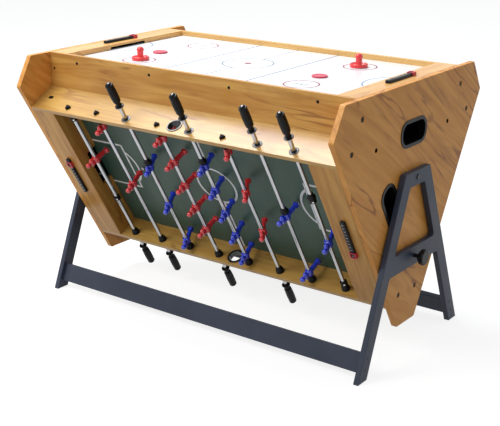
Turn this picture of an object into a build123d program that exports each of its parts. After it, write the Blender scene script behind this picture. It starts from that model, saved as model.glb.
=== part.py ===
from build123d import *

import os
from math import atan2, cos, degrees, radians, sin, tan

# All sizes are in millimetres. X runs along the table to the right, Y to the back, Z up.
# The origin is on the floor, under the middle of the axis that the cabinet turns on.
# Each of the three playing faces is drawn facing up about that axis, then turned to its side.

# Cabinet
cabinet_length = 1219.0
axis_height = 562.0
box_width = 602.0
side_rail_height = 111.22
corner_cut = 95.5
rail_thickness = 14.0
end_panel_thickness = 18.0
end_panel_corner_radius = 8.0
face_count = 3

# Clearances shared by several pieces
running_clearance = 0.1
seat_clearance = 0.3
fitting_clearance = 0.1
overrun = 5.0

# Bolts that draw the end panels onto the side rails
panel_bolt_radius = 3.0
panel_bolt_length = 44.0
panel_bolt_head_radius = 7.5
panel_bolt_head_height = 3.5
panel_bolt_recess_radius = 8.5
panel_bolt_recess_depth = 5.0
panel_bolt_drop = 56.5

# Leg frames
frame_gap = 4.0
frame_thickness = 18.0
foot_spread = 624.0
leg_foot_width = 49.0
apex_width = 149.0
apex_rise = 22.0
apex_bar_depth = 46.0
crossbar_drop = 219.0
crossbar_depth = 60.0
frame_corner_radius = 9.0

# Stretchers between the leg frames
stretcher_height = 62.0
stretcher_thickness = 18.0
stretcher_centre_height = 52.0

# Pivot bolts
pivot_bolt_radius = 8.0
pivot_head_radius = 9.0
pivot_head_height = 2.5
pivot_washer_radius = 20.0
pivot_nut_radius = 13.0
pivot_nut_height = 10.0

# Lock knobs and the three holes that each can drop into
lock_pin_radius = 6.0
lock_hole_radius = 6.6
lock_hole_depth = 13.0
knob_hub_radius = 13.0
knob_hub_length = 7.0
knob_rest_gap = 15.0
knob_head_radius = 25.0
knob_head_length = 16.0
knob_edge_radius = 5.0
knob_scallop_radius = 9.0
knob_scallop_depth = 2.5
knob_scallop_count = 6

# Hockey face
hockey_depth = 17.0
hockey_board_thickness = 12.0
hockey_end_rail_width = 70.0
hockey_slot_width = 170.0
hockey_slot_height = 9.0
hockey_lip = 12.0
rail_back_wall = 4.0

# Foosball face
foosball_depth = 86.0
foosball_board_thickness = 9.0
foosball_end_rail_width = 95.0
foosball_end_rail_thickness = 14.0
goal_wall_thickness = 12.0
goal_width = 144.0
goal_height = 45.0

# Pool face
pool_depth = 32.0
pool_board_thickness = 12.0
pool_end_rail_width = 70.0
cushion_width = 28.0
cushion_top_width = 21.0
cushion_nose_height = 24.0
cushion_nose_thickness = 5.0
cushion_foot_width = 9.0
pocket_radius = 26.0
pocket_wall = 2.5
pocket_cup_depth = 55.0
pocket_liner_drop = 2.0
pocket_mouth_width = 42.0
pocket_jaw = 5.0

# Return trays behind the goals, open at the end panels
tray_board_gap = 22.0
tray_mouth_width = 134.0
tray_mouth_height = 62.0
tray_mouth_corner = 27.0
tray_wall = 3.0
tray_flange_width = 11.0
tray_flange_thickness = 2.5
tray_chute_width = 171.0
tray_chute_depth = 57.0

# Rods: handles of one team come out below, those of the other team above.
# The men stand along a rod at shares of the reach from its middle to a bearing.
goal_rod_gap = 55.5
rod_depth = 25.0
rod_radius = 6.35
rod_wall = 2.0
inner_rod_tip_reach = 60.0
inner_rod_head_radius = 5.5
inner_rod_head_length = 3.5
rod_men_counts = [1, 2, 3, 5, 5, 3, 2, 1]
rod_handle_sides = [-1, -1, 1, -1, 1, -1, 1, 1]
rod_tilt_angles = [9.6, -9.8, -17.6, 5.3, -8.0, -27.0, 7.0, -10.0]
men_spacing_shares = {2: 0.905, 3: 0.609, 5: 0.3575}

# Bearings in the foosball side rails
bearing_flange_radius = 14.0
bearing_flange_thickness = 3.0
handle_barrel_radius = 9.0
far_barrel_radius = 7.3
bearing_washer_radius = 13.5
bearing_washer_thickness = 1.5
bearing_nut_radius = 10.0
bearing_nut_thickness = 3.0
end_cap_thickness = 3.0
end_cap_lobe_radius = 4.2
end_cap_lobe_reach = 8.0
end_cap_hub_radius = 6.0
end_cap_lobe_count = 3

# Rubber bumpers and the goalkeepers' stop rings
bumper_radius = 13.0
bumper_length = 19.0
bumper_tip_radius = 9.0
bumper_foot_share = 0.45
bumper_shoulder_share = 0.6
stop_ring_radius = 11.5
stop_ring_length = 14.0
stop_ring_spacing_share = 1.2887

# Handles
handle_reach = 51.0
handle_flange_radius = 14.0
handle_flange_thickness = 4.0
handle_neck_radius = 8.5
handle_neck_length = 18.0
grip_length = 65.0
grip_shoulder_length = 3.0
grip_root_radius = 12.0
grip_belly_radius = 13.2
grip_tip_radius = 12.0
grip_cap_height = 6.0
grip_cap_radius = 7.0

# Men
man_width = 31.0
man_clamp_radius = 12.0
man_clamp_width = 23.0
man_shoulder_height = 24.0
man_shoulder_depth = 16.0
man_neck_height = 28.0
man_neck_radius = 5.0
man_head_centre = 35.5
man_head_radius = 9.0
man_round_sides = 8
man_crown_width_share = 0.3
man_brow_height_share = 0.6
man_brow_width_share = 0.8
man_leg_width = 18.0
man_leg_depth = 15.0
man_ankle_width = 15.0
man_ankle_depth = 12.0
man_foot_reach = 54.0
man_foot_height = 13.0
man_foot_sole_bevel = 3.0
man_foot_toe = 10.5
man_foot_heel = 8.0
man_foot_width = 18.0

# Ball entry sleeves in the foosball side rails
entry_radius = 21.0
entry_wall = 2.5
entry_flange_radius = 29.0
entry_outer_flange_radius = 25.0
entry_flange_thickness = 2.5
entry_drop = 35.0

# Score slides
score_bar_length = 155.0
score_bar_width = 16.0
score_bar_height = 9.0
hockey_score_inset = 34.0
foosball_score_inset = 42.5
pointer_length = 22.0
pointer_wall = 2.2
pointer_window_length = 16.0
pointer_window_width = 14.0
hockey_pointer_place = 66.5
foosball_left_pointer_place = 55.0
foosball_right_pointer_place = -62.0

# Mallets and pucks
mallet_radius = 29.0
mallet_base_height = 11.0
mallet_dish_depth = 4.0
mallet_rim_width = 4.0
mallet_post_radius = 10.5
mallet_head_radius = 12.0
mallet_height = 43.0
mallet_edge_radius = 2.0
mallet_end_rail_gap = 203.5
mallet_side_rail_gap = 127.0
puck_radius = 25.0
puck_thickness = 5.0
puck_edge = 1.0
left_puck_end_rail_gap = 170.5
left_puck_side = 26.0
right_puck_end_rail_gap = 217.5
right_puck_side = 43.0

# Air blower under the hockey board
blower_radius = 58.0
blower_height = 46.0
blower_throat_radius = 38.0
blower_throat_height = 10.0
blower_eye_radius = 30.0
blower_eye_depth = 6.0
blower_edge_radius = 6.0

# Sizes that follow from the ones above
panel_inner_x = cabinet_length / 2 - end_panel_thickness
panel_outer_x = cabinet_length / 2
frame_inner_x = panel_outer_x + frame_gap
frame_outer_x = frame_inner_x + frame_thickness
face_angles = {"hockey": 0, "foosball": 360 / face_count, "pool": -360 / face_count}
mitre_share = tan(radians(90 - 180 / face_count))
box_y = box_width / 2
rail_inner_y = box_y - rail_thickness
face_reach = box_y * mitre_share + side_rail_height
corner_reach = 2 * face_reach - corner_cut
hockey_level = face_reach - hockey_depth
foosball_level = face_reach - foosball_depth
pool_level = face_reach - pool_depth
rod_level = face_reach - rod_depth
bearing_face_y = rail_inner_y - bearing_flange_thickness
lock_reach = crossbar_drop + crossbar_depth / 2
inner_rod_radius = rod_radius - rod_wall - running_clearance
goal_wall_x = panel_inner_x - foosball_end_rail_width
hockey_end_x = panel_inner_x - hockey_end_rail_width
pool_end_x = panel_inner_x - pool_end_rail_width
tray_chute_x = panel_inner_x - tray_chute_depth
tray_board_z = foosball_level - foosball_board_thickness
tray_centre_reach = tray_board_z - tray_board_gap - tray_wall - tray_mouth_height / 2
score_x_places = {
    "hockey": panel_inner_x - hockey_score_inset,
    "foosball": panel_inner_x - foosball_score_inset,
}
goal_rod_x = goal_wall_x - goal_rod_gap
rod_numbers = range(len(rod_men_counts))
rod_pitch = 2 * goal_rod_x / rod_numbers[-1]
rod_x_places = [number * rod_pitch - goal_rod_x for number in rod_numbers]


# Helpers

def block(x, y, z):
    """A box between two ends along each axis."""
    middle = Pos((x[0] + x[1]) / 2, (y[0] + y[1]) / 2, (z[0] + z[1]) / 2)
    return middle * Box(x[1] - x[0], y[1] - y[0], z[1] - z[0])


def y_cylinder(radius, start, end):
    """A cylinder along Y between two places."""
    return Pos(0, (start + end) / 2, 0) * Rot(90, 0, 0) * Cylinder(radius, end - start)


def x_cylinder(radius, start, end):
    """A cylinder along X between two places."""
    return Pos((start + end) / 2, 0, 0) * Rot(0, 90, 0) * Cylinder(radius, end - start)


def z_cylinder(radius, start, end):
    """A cylinder along Z between two places."""
    return Pos(0, 0, (start + end) / 2) * Cylinder(radius, end - start)


def turned(y, z, angle):
    """A point of the YZ plane turned about the cabinet's axis."""
    a = radians(angle)
    return (y * cos(a) - z * sin(a), y * sin(a) + z * cos(a))


def on_face(face, shape):
    """Carries a shape drawn face up about the turning axis to its own playing face."""
    return Pos(0, 0, axis_height) * Rot(face_angles[face], 0, 0) * shape


def profile(points):
    """A flat face inside a closed line of points."""
    return make_face(Polyline(*points, close=True))


def turned_about_y(points):
    """A solid of revolution about Y from points of radius and place along Y."""
    return revolve(profile([(r, y) for r, y in points]), Axis.Y)


def turned_about_z(points):
    """A solid of revolution about Z from points of radius and height."""
    return revolve(Plane.XZ * profile(points), Axis.Z)


def both_ways(side, inner, outer):
    """Two places along Y on one side, the lower one first."""
    return sorted((side * inner, side * outer))


def mirrored_x(shape):
    """The same shape at the other end of the table."""
    return mirror(shape, about=Plane.YZ)


# End panels

def end_panel():
    """The right end panel: a triangle with cut corners, bored for all that it carries."""
    half_edge = (corner_reach - face_reach * sin(radians(30))) / cos(radians(30))
    corners = []
    for face in ("hockey", "pool", "foosball"):
        for side in (-1, 1):
            corners.append(turned(side * half_edge, face_reach, face_angles[face]))
    outline = profile(corners)
    outline = fillet(outline.vertices(), end_panel_corner_radius)
    plate = extrude(Plane.YZ.offset(panel_inner_x) * outline, amount=end_panel_thickness)
    plate -= x_cylinder(pivot_bolt_radius + running_clearance,
                        panel_inner_x - overrun, panel_outer_x + overrun)
    lock_hole = Pos(0, 0, -lock_reach) * x_cylinder(
        lock_hole_radius, panel_outer_x - lock_hole_depth, panel_outer_x + overrun)
    for angle in face_angles.values():
        plate -= Rot(angle, 0, 0) * lock_hole
        for side in (-1, 1):
            place = Rot(angle, 0, 0) * Pos(0, side * panel_bolt_y(), panel_bolt_z())
            plate -= place * x_cylinder(panel_bolt_radius + fitting_clearance,
                                        panel_inner_x - overrun, panel_outer_x)
            plate -= place * x_cylinder(panel_bolt_recess_radius,
                                        panel_outer_x - panel_bolt_recess_depth,
                                        panel_outer_x + overrun)
    for face in ("hockey", "foosball"):
        hole = tray_prism(tray_wall + fitting_clearance,
                          panel_inner_x - overrun, panel_outer_x + overrun)
        plate -= Rot(face_angles[face], 0, 0) * hole
    return Pos(0, 0, axis_height) * plate


def panel_bolt_y():
    """The bolts run in the middle of the side rails' thickness."""
    return box_y - rail_thickness / 2


def panel_bolt_z():
    return face_reach - panel_bolt_drop


def panel_bolts():
    """Twelve bolts, two for each playing face at each end."""
    head_x = panel_outer_x - panel_bolt_recess_depth
    bolt = x_cylinder(panel_bolt_radius, head_x - panel_bolt_length, head_x)
    bolt += x_cylinder(panel_bolt_head_radius, head_x, head_x + panel_bolt_head_height)
    bolts = []
    for face in face_angles:
        for side in (-1, 1):
            placed = on_face(face, Pos(0, side * panel_bolt_y(), panel_bolt_z()) * bolt)
            bolts += [placed, mirrored_x(placed)]
    return bolts


# Rails

def side_rail(side):
    """One long board, mitred below where it meets the next playing face's board."""
    section = profile([
        (side * box_y, face_reach),
        (side * rail_inner_y, face_reach),
        (side * rail_inner_y, rail_inner_y * mitre_share),
        (side * box_y, box_y * mitre_share),
    ])
    board = extrude(Plane.YZ.offset(-panel_inner_x) * section, amount=2 * panel_inner_x)
    hole = Pos(0, side * panel_bolt_y(), panel_bolt_z()) * x_cylinder(
        panel_bolt_radius + fitting_clearance,
        panel_outer_x - panel_bolt_recess_depth - panel_bolt_length - fitting_clearance,
        panel_inner_x + overrun)
    return board - hole - mirrored_x(hole)


def foosball_side_rail(side):
    """A side rail bored for eight bearings and one ball entry sleeve."""
    board = side_rail(side)
    start, end = both_ways(side, rail_inner_y - overrun, box_y + overrun)
    for x, handle_side in zip(rod_x_places, rod_handle_sides):
        barrel = handle_barrel_radius if side == handle_side else far_barrel_radius
        board -= Pos(x, 0, rod_level) * y_cylinder(barrel + fitting_clearance, start, end)
    board -= Pos(0, 0, face_reach - entry_drop) * y_cylinder(
        entry_radius + entry_wall + fitting_clearance, start, end)
    return board


def hockey_end_rail():
    """The right end rail, with the goal slot cut in from the field."""
    rail = block((hockey_end_x, panel_inner_x), (-rail_inner_y, rail_inner_y),
                 (hockey_level, face_reach))
    slot = block((hockey_end_x - overrun, panel_inner_x - rail_back_wall),
                 (-hockey_slot_width / 2, hockey_slot_width / 2),
                 (hockey_level - overrun, hockey_level + hockey_slot_height))
    return rail - slot


def foosball_end_rail():
    """The right end board, which covers the space behind the goal."""
    return block((goal_wall_x, panel_inner_x), (-rail_inner_y, rail_inner_y),
                 (face_reach - foosball_end_rail_thickness, face_reach))


def goal_wall():
    """The right end wall of the foosball field, with the goal mouth."""
    wall = block((goal_wall_x, goal_wall_x + goal_wall_thickness),
                 (-rail_inner_y, rail_inner_y),
                 (foosball_level, face_reach - foosball_end_rail_thickness))
    mouth = block((goal_wall_x - overrun, goal_wall_x + goal_wall_thickness + overrun),
                  (-goal_width / 2, goal_width / 2),
                  (foosball_level - overrun, foosball_level + goal_height))
    return wall - mouth


def pool_end_rail():
    return block((pool_end_x, panel_inner_x), (-rail_inner_y, rail_inner_y),
                 (pool_level, face_reach))


# Playing fields

def board_with_drops(level, thickness, drop_start_x, drop_width):
    """A field board with an opening behind each goal, where the puck or ball falls."""
    board = block((-panel_inner_x, panel_inner_x), (-rail_inner_y, rail_inner_y),
                  (level - thickness, level))
    drop = block((drop_start_x, panel_inner_x - rail_back_wall),
                 (-drop_width / 2, drop_width / 2),
                 (level - thickness - overrun, level + overrun))
    return board - drop - mirrored_x(drop)


def pocket_places():
    """Centres of the six pockets, each against the rails round it."""
    y = rail_inner_y - pocket_radius - seat_clearance
    x = pool_end_x - pocket_radius - seat_clearance
    return [(sx * x, sy * y) for sy in (-1, 1) for sx in (-1, 0, 1)]


def pool_bed():
    """The pool field's board, notched from its long edges for the pocket cups."""
    board = block((-panel_inner_x, panel_inner_x), (-rail_inner_y, rail_inner_y),
                  (pool_level - pool_board_thickness, pool_level))
    reach = pocket_radius + fitting_clearance
    z = (pool_level - pool_board_thickness - overrun, pool_level + overrun)
    for x, y in pocket_places():
        side = 1 if y > 0 else -1
        board -= Pos(x, y, 0) * z_cylinder(reach, *z)
        board -= block((x - reach, x + reach), both_ways(side, abs(y), box_y), z)
    return board


def cushion_section():
    """Distance from the rail and height, for a cushion with an undercut nose."""
    return [
        (0, face_reach),
        (cushion_top_width, face_reach),
        (cushion_width, pool_level + cushion_nose_height),
        (cushion_width, pool_level + cushion_nose_height - cushion_nose_thickness),
        (cushion_foot_width, pool_level),
        (0, pool_level),
    ]


def pool_cushions():
    """Six cushions: one at each end and two along each side, cut clear of the pockets."""
    places = pocket_places()
    corner_x = max(x for x, y in places)
    corner_y = max(y for x, y in places)
    reach = pocket_radius + pocket_jaw
    cushions = []
    end = extrude(Plane.XZ.offset(-(corner_y - reach))
                  * profile([(pool_end_x - w, z) for w, z in cushion_section()]),
                  amount=2 * (corner_y - reach))
    cushions += [end, mirrored_x(end)]
    side_section = profile([(rail_inner_y - w, z) for w, z in cushion_section()])
    side = extrude(Plane.YZ.offset(reach) * side_section, amount=corner_x - 2 * reach)
    for piece in (side, mirrored_x(side)):
        cushions += [piece, mirror(piece, about=Plane.XZ)]
    return cushions


def pool_pockets():
    """Six cups with a liner that stands up to the rail and is open to the field."""
    pockets = []
    bottom = pool_level - pocket_cup_depth
    top = face_reach - pocket_liner_drop
    for x, y in pocket_places():
        cup = z_cylinder(pocket_radius, bottom, top)
        cup -= z_cylinder(pocket_radius - pocket_wall, bottom + pocket_wall, top + overrun)
        mouth = block((0, 2 * pocket_radius), (-pocket_mouth_width / 2, pocket_mouth_width / 2),
                      (pool_level, top + overrun))
        facing = degrees(atan2(-y, -x)) if x else degrees(atan2(-y, 0))
        pockets.append(Pos(x, y, 0) * (cup - Rot(0, 0, facing) * mouth))
    return pockets


# Return trays

def tray_prism(growth, start_x, end_x):
    """The rounded mouth of a tray, grown all round, between two places along X."""
    outline = RectangleRounded(tray_mouth_width + 2 * growth, tray_mouth_height + 2 * growth,
                               tray_mouth_corner + growth)
    plane = Plane.YZ.offset(start_x)
    return Pos(0, 0, tray_centre_reach) * extrude(plane * outline, amount=end_x - start_x)


def return_tray(chute_top):
    """A moulded tray: flange outside the panel, mouth through it and chute behind it."""
    floor = tray_centre_reach - tray_mouth_height / 2
    half = tray_chute_width / 2
    body = tray_prism(tray_wall, panel_inner_x - tray_wall, panel_outer_x)
    body += tray_prism(tray_flange_width, panel_outer_x, panel_outer_x + tray_flange_thickness)
    body += block((tray_chute_x, panel_inner_x), (-half - tray_wall, half + tray_wall),
                  (floor - tray_wall, chute_top))
    body -= tray_prism(0, tray_chute_x + tray_wall, panel_outer_x + overrun)
    body -= block((tray_chute_x + tray_wall, panel_inner_x - tray_wall), (-half, half),
                  (floor, chute_top + overrun))
    return body


def return_trays():
    hockey = on_face("hockey", return_tray(hockey_level - hockey_board_thickness))
    foosball = on_face("foosball", return_tray(foosball_level - foosball_board_thickness))
    return [hockey, mirrored_x(hockey), foosball, mirrored_x(foosball)]


# Rods, in a frame where Y runs from the rod's middle towards its handle

def men_places(count):
    """Places of a rod's men along it, about the middle of the row."""
    if count == 1:
        return [0]
    pitch = men_spacing_shares[count] * bearing_face_y
    return [(i - (count - 1) / 2) * pitch for i in range(count)]


def stop_ring_reach():
    """From the goalkeeper to the middle of a stop ring."""
    return stop_ring_spacing_share * bearing_face_y / 2


def row_half_length(count):
    """From the middle of a row to the last face that a bumper can meet."""
    if count == 1:
        return stop_ring_reach() + stop_ring_length / 2
    return men_places(count)[-1] + man_width / 2


def rod_shift(count):
    """How far a row lies from the field's middle when its rod is pushed home."""
    return bearing_face_y - bumper_length - seat_clearance - row_half_length(count)


def inner_rod():
    """The thin rod that turns in the far rail and that the outer tube slides on."""
    far = -(rail_inner_y + rail_thickness)
    rod = y_cylinder(inner_rod_radius, far + seat_clearance, inner_rod_tip_reach)
    head = y_cylinder(inner_rod_head_radius, far + seat_clearance,
                      far + seat_clearance + inner_rod_head_length)
    return rod + head


def rod_tube():
    """The tube that carries the men, up into the handle."""
    start = -(bearing_face_y - seat_clearance)
    end = box_y + handle_reach + handle_flange_thickness + handle_neck_length
    tube = y_cylinder(rod_radius, start, end)
    return tube - y_cylinder(rod_radius - rod_wall, start - overrun, end + overrun)


def handle():
    """A turned grip with a flange, a neck and a domed cap, socketed on the tube."""
    y0 = box_y + handle_reach
    y1 = y0 + handle_flange_thickness
    y2 = y1 + handle_neck_length
    y3 = y2 + grip_length
    bore = rod_radius + fitting_clearance
    return turned_about_y([
        (bore, y0),
        (handle_flange_radius, y0),
        (handle_flange_radius, y1),
        (handle_neck_radius, y1),
        (handle_neck_radius, y2 - grip_shoulder_length),
        (grip_root_radius, y2),
        (grip_belly_radius, y2 + grip_length / 2),
        (grip_tip_radius, y3),
        (grip_cap_radius, y3 + grip_cap_height),
        (0, y3 + grip_cap_height),
        (0, y2 + fitting_clearance),
        (bore, y2 + fitting_clearance),
    ])


def bumper(start):
    """A rubber sleeve with a wide foot at its start and a narrower neck towards +Y."""
    bore = rod_radius + running_clearance
    end = start + bumper_length
    return turned_about_y([
        (bore, start),
        (bumper_radius, start),
        (bumper_radius, start + bumper_foot_share * bumper_length),
        (bumper_tip_radius, start + bumper_shoulder_share * bumper_length),
        (bumper_tip_radius, end),
        (bore, end),
    ])


def stop_ring(centre):
    ring = y_cylinder(stop_ring_radius, centre - stop_ring_length / 2,
                      centre + stop_ring_length / 2)
    return ring - y_cylinder(rod_radius + fitting_clearance, centre - stop_ring_length,
                             centre + stop_ring_length)


def man():
    """A player facing +X, in a frame whose Y is the rod's axis and whose Z is up."""
    torso = loft([
        Plane.XY.offset(man_clamp_radius / 2) * Rectangle(man_clamp_radius, man_clamp_width),
        Plane.XY.offset(man_shoulder_height) * Rectangle(man_shoulder_depth, man_width),
    ])
    neck = extrude(Plane.XY.offset(man_shoulder_height)
                   * RegularPolygon(man_neck_radius, man_round_sides),
                   amount=man_neck_height - man_shoulder_height)
    head = head_half(True) + head_half(False)
    clamp = Rot(90, 0, 0) * extrude(RegularPolygon(man_clamp_radius, man_round_sides),
                                    amount=man_clamp_width / 2, both=True)
    ankle_z = -(man_foot_reach - man_foot_height)
    leg = loft([
        Plane.XY.offset(ankle_z) * Rectangle(man_ankle_depth, man_ankle_width),
        Plane.XY.offset(-man_clamp_radius / 2) * Rectangle(man_leg_depth, man_leg_width),
    ])
    sole_z = man_foot_sole_bevel - man_foot_reach
    foot_side = profile([
        (-man_ankle_depth / 2, ankle_z),
        (man_ankle_depth / 2, ankle_z),
        (man_foot_toe, sole_z),
        (man_foot_toe - man_foot_sole_bevel, -man_foot_reach),
        (-man_foot_heel + man_foot_sole_bevel, -man_foot_reach),
        (-man_foot_heel, sole_z),
    ])
    foot = extrude(Plane.XZ * foot_side, amount=man_foot_width / 2, both=True)
    body = torso + neck + head + clamp + leg + foot
    return body - y_cylinder(rod_radius + fitting_clearance, -man_width, man_width)


def head_half(upper):
    """Half of a faceted head, from its widest ring to its crown or its chin."""
    brow_rise = man_brow_height_share * man_head_radius
    rings = [
        (0, man_head_radius),
        (brow_rise, man_brow_width_share * man_head_radius),
        (man_head_radius, man_crown_width_share * man_head_radius),
    ]
    levels = [
        Plane.XY.offset(man_head_centre + (rise if upper else -rise))
        * RegularPolygon(radius, man_round_sides)
        for rise, radius in rings
    ]
    return loft(levels, ruled=True)


def rod_location(number):
    """Places a rod's own frame on the foosball face."""
    turn = 0 if rod_handle_sides[number] > 0 else 180
    return Pos(rod_x_places[number], 0, rod_level) * Rot(0, 0, turn)


def rod_row_centre(number):
    """Where a rod's row of men is centred at rest, in the face's Y."""
    return -rod_handle_sides[number] * rod_shift(rod_men_counts[number])


def top_face_of_row(number):
    """The row's face nearest the upper rail, where the loose bumper comes to lie."""
    return rod_row_centre(number) + row_half_length(rod_men_counts[number])


def rod_assembly(number):
    """The tube with its handle, its bumper and a goalkeeper's two stop rings."""
    place = rod_location(number)
    pieces = [place * rod_tube(), place * handle()]
    row = Pos(rod_x_places[number], 0, rod_level)
    pieces.append(row * bumper(top_face_of_row(number)))
    if rod_men_counts[number] == 1:
        for side in (-1, 1):
            centre = rod_row_centre(number) + side * stop_ring_reach()
            pieces.append(row * stop_ring(centre))
    return [on_face("foosball", piece) for piece in pieces]


def rod_players(number, figure):
    """One rod's men: the team with its handles below plays towards +X."""
    facing = 0 if rod_handle_sides[number] < 0 else 180
    tilt = Rot(0, -rod_tilt_angles[number], 0) * Rot(0, 0, facing)
    return [
        on_face("foosball", Pos(rod_x_places[number], rod_row_centre(number) + y, rod_level)
                * tilt * figure)
        for y in men_places(rod_men_counts[number])
    ]


def handle_bearing():
    """The bearing that the tube slides through, with its washer and nut outside."""
    bore = rod_radius + running_clearance
    washer_y = box_y + bearing_washer_thickness
    return turned_about_y([
        (bore, bearing_face_y),
        (bearing_flange_radius, bearing_face_y),
        (bearing_flange_radius, rail_inner_y),
        (handle_barrel_radius, rail_inner_y),
        (handle_barrel_radius, box_y),
        (bearing_washer_radius, box_y),
        (bearing_washer_radius, washer_y),
        (bearing_nut_radius, washer_y),
        (bearing_nut_radius, washer_y + bearing_nut_thickness),
        (bore, washer_y + bearing_nut_thickness),
    ])


def far_bearing():
    """The bearing that holds the inner rod's head at the rail without a handle."""
    bore = inner_rod_radius + running_clearance
    pocket = inner_rod_head_radius + running_clearance
    pocket_y = -(box_y - 2 * seat_clearance - inner_rod_head_length)
    return turned_about_y([
        (bore, -bearing_face_y),
        (bearing_flange_radius, -bearing_face_y),
        (bearing_flange_radius, -rail_inner_y),
        (far_barrel_radius, -rail_inner_y),
        (far_barrel_radius, -box_y),
        (pocket, -box_y),
        (pocket, pocket_y),
        (bore, pocket_y),
    ])


def end_cap():
    """A cap with lobes that closes the far bearing, one of them towards the face's top."""
    outline = Circle(end_cap_hub_radius)
    for k in range(end_cap_lobe_count):
        angle = 360 * k / end_cap_lobe_count
        outline += Rot(0, 0, angle) * Pos(0, end_cap_lobe_reach) * Circle(end_cap_lobe_radius)
    cap = extrude(outline, amount=end_cap_thickness)
    return Pos(0, -box_y, 0) * Rot(90, 0, 0) * cap


def rod_bearings():
    pieces = []
    for number in rod_numbers:
        place = rod_location(number)
        pieces += [on_face("foosball", place * part)
                   for part in (handle_bearing(), far_bearing(), end_cap())]
    return pieces


def rail_bumpers():
    """The loose bumper of each rod that lies against the lower rail's bearing."""
    return [
        on_face("foosball", Pos(x, 0, rod_level) * bumper(-bearing_face_y))
        for x in rod_x_places
    ]


# Ball entry sleeves

def ball_entries():
    """A flanged sleeve through each foosball side rail."""
    sleeve = turned_about_y([
        (entry_radius, rail_inner_y - entry_flange_thickness),
        (entry_flange_radius, rail_inner_y - entry_flange_thickness),
        (entry_flange_radius, rail_inner_y),
        (entry_radius + entry_wall, rail_inner_y),
        (entry_radius + entry_wall, box_y),
        (entry_outer_flange_radius, box_y),
        (entry_outer_flange_radius, box_y + entry_flange_thickness),
        (entry_radius, box_y + entry_flange_thickness),
    ])
    placed = Pos(0, 0, face_reach - entry_drop) * sleeve
    return [on_face("foosball", placed), on_face("foosball", mirror(placed, about=Plane.XZ))]


# Score slides

def on_right_score_bar(face, shape):
    """Carries a shape drawn about the middle of a score bar to the right end of a face."""
    return on_face(face, Pos(score_x_places[face], 0, face_reach) * shape)


def score_bars():
    """Four bars, one on each end rail of the hockey and the foosball face."""
    bar = block((-score_bar_width / 2, score_bar_width / 2),
                (-score_bar_length / 2, score_bar_length / 2),
                (0, score_bar_height))
    bars = []
    for face in score_x_places:
        placed = on_right_score_bar(face, bar)
        bars += [placed, mirrored_x(placed)]
    return bars


def pointer(face, place):
    """A saddle that rides over the right score bar, with a window over the numbers."""
    inner = score_bar_width / 2 + seat_clearance
    outer = inner + pointer_wall
    roof = score_bar_height + seat_clearance
    half = pointer_length / 2
    saddle = block((-outer, outer), (-half, half), (seat_clearance, roof + pointer_wall))
    saddle -= block((-inner, inner), (-pointer_length, pointer_length), (0, roof))
    saddle -= block((-pointer_window_width / 2, pointer_window_width / 2),
                    (-pointer_window_length / 2, pointer_window_length / 2),
                    (score_bar_height, roof + pointer_wall + overrun))
    return on_right_score_bar(face, Pos(0, place, 0) * saddle)


# Mallets and pucks

def mallet():
    """A striker: a dished disc with a post and a domed head."""
    dish_floor = mallet_base_height - mallet_dish_depth
    post_top = mallet_height - mallet_head_radius
    body = turned_about_z([
        (0, 0),
        (mallet_radius - mallet_edge_radius, 0),
        (mallet_radius, mallet_edge_radius),
        (mallet_radius, mallet_base_height),
        (mallet_radius - mallet_rim_width, mallet_base_height),
        (mallet_radius - mallet_rim_width - mallet_dish_depth / 2, dish_floor),
        (mallet_post_radius, dish_floor),
        (mallet_post_radius, post_top),
        (0, post_top),
    ])
    dome = Pos(0, 0, post_top) * Sphere(mallet_head_radius)
    dome -= z_cylinder(2 * mallet_head_radius, post_top - 2 * mallet_head_radius, post_top)
    return body + dome


def puck():
    """A thin disc with broken edges."""
    return turned_about_z([
        (0, 0),
        (puck_radius - puck_edge, 0),
        (puck_radius, puck_edge),
        (puck_radius, puck_thickness - puck_edge),
        (puck_radius - puck_edge, puck_thickness),
        (0, puck_thickness),
    ])


def on_hockey_field(shape, x, y):
    return on_face("hockey", Pos(x, y, hockey_level + seat_clearance) * shape)


# Air blower

def air_blower():
    """A drum fan that blows up through a throat into the hockey board."""
    top = hockey_level - hockey_board_thickness
    drum_top = top - blower_throat_height
    drum = z_cylinder(blower_radius, drum_top - blower_height, drum_top)
    drum = fillet(drum.edges().filter_by(GeomType.CIRCLE), blower_edge_radius)
    drum -= z_cylinder(blower_eye_radius, drum_top - blower_height - overrun,
                       drum_top - blower_height + blower_eye_depth)
    throat = z_cylinder(blower_throat_radius, drum_top - blower_edge_radius, top)
    return on_face("hockey", drum + throat)


# Stand

def leg_slope_share():
    """How far a leg leans inwards for each unit of height."""
    return (foot_spread - apex_width) / 2 / (axis_height + apex_rise)


def leg_inner_y(height):
    return foot_spread / 2 - leg_foot_width - leg_slope_share() * height


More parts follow.
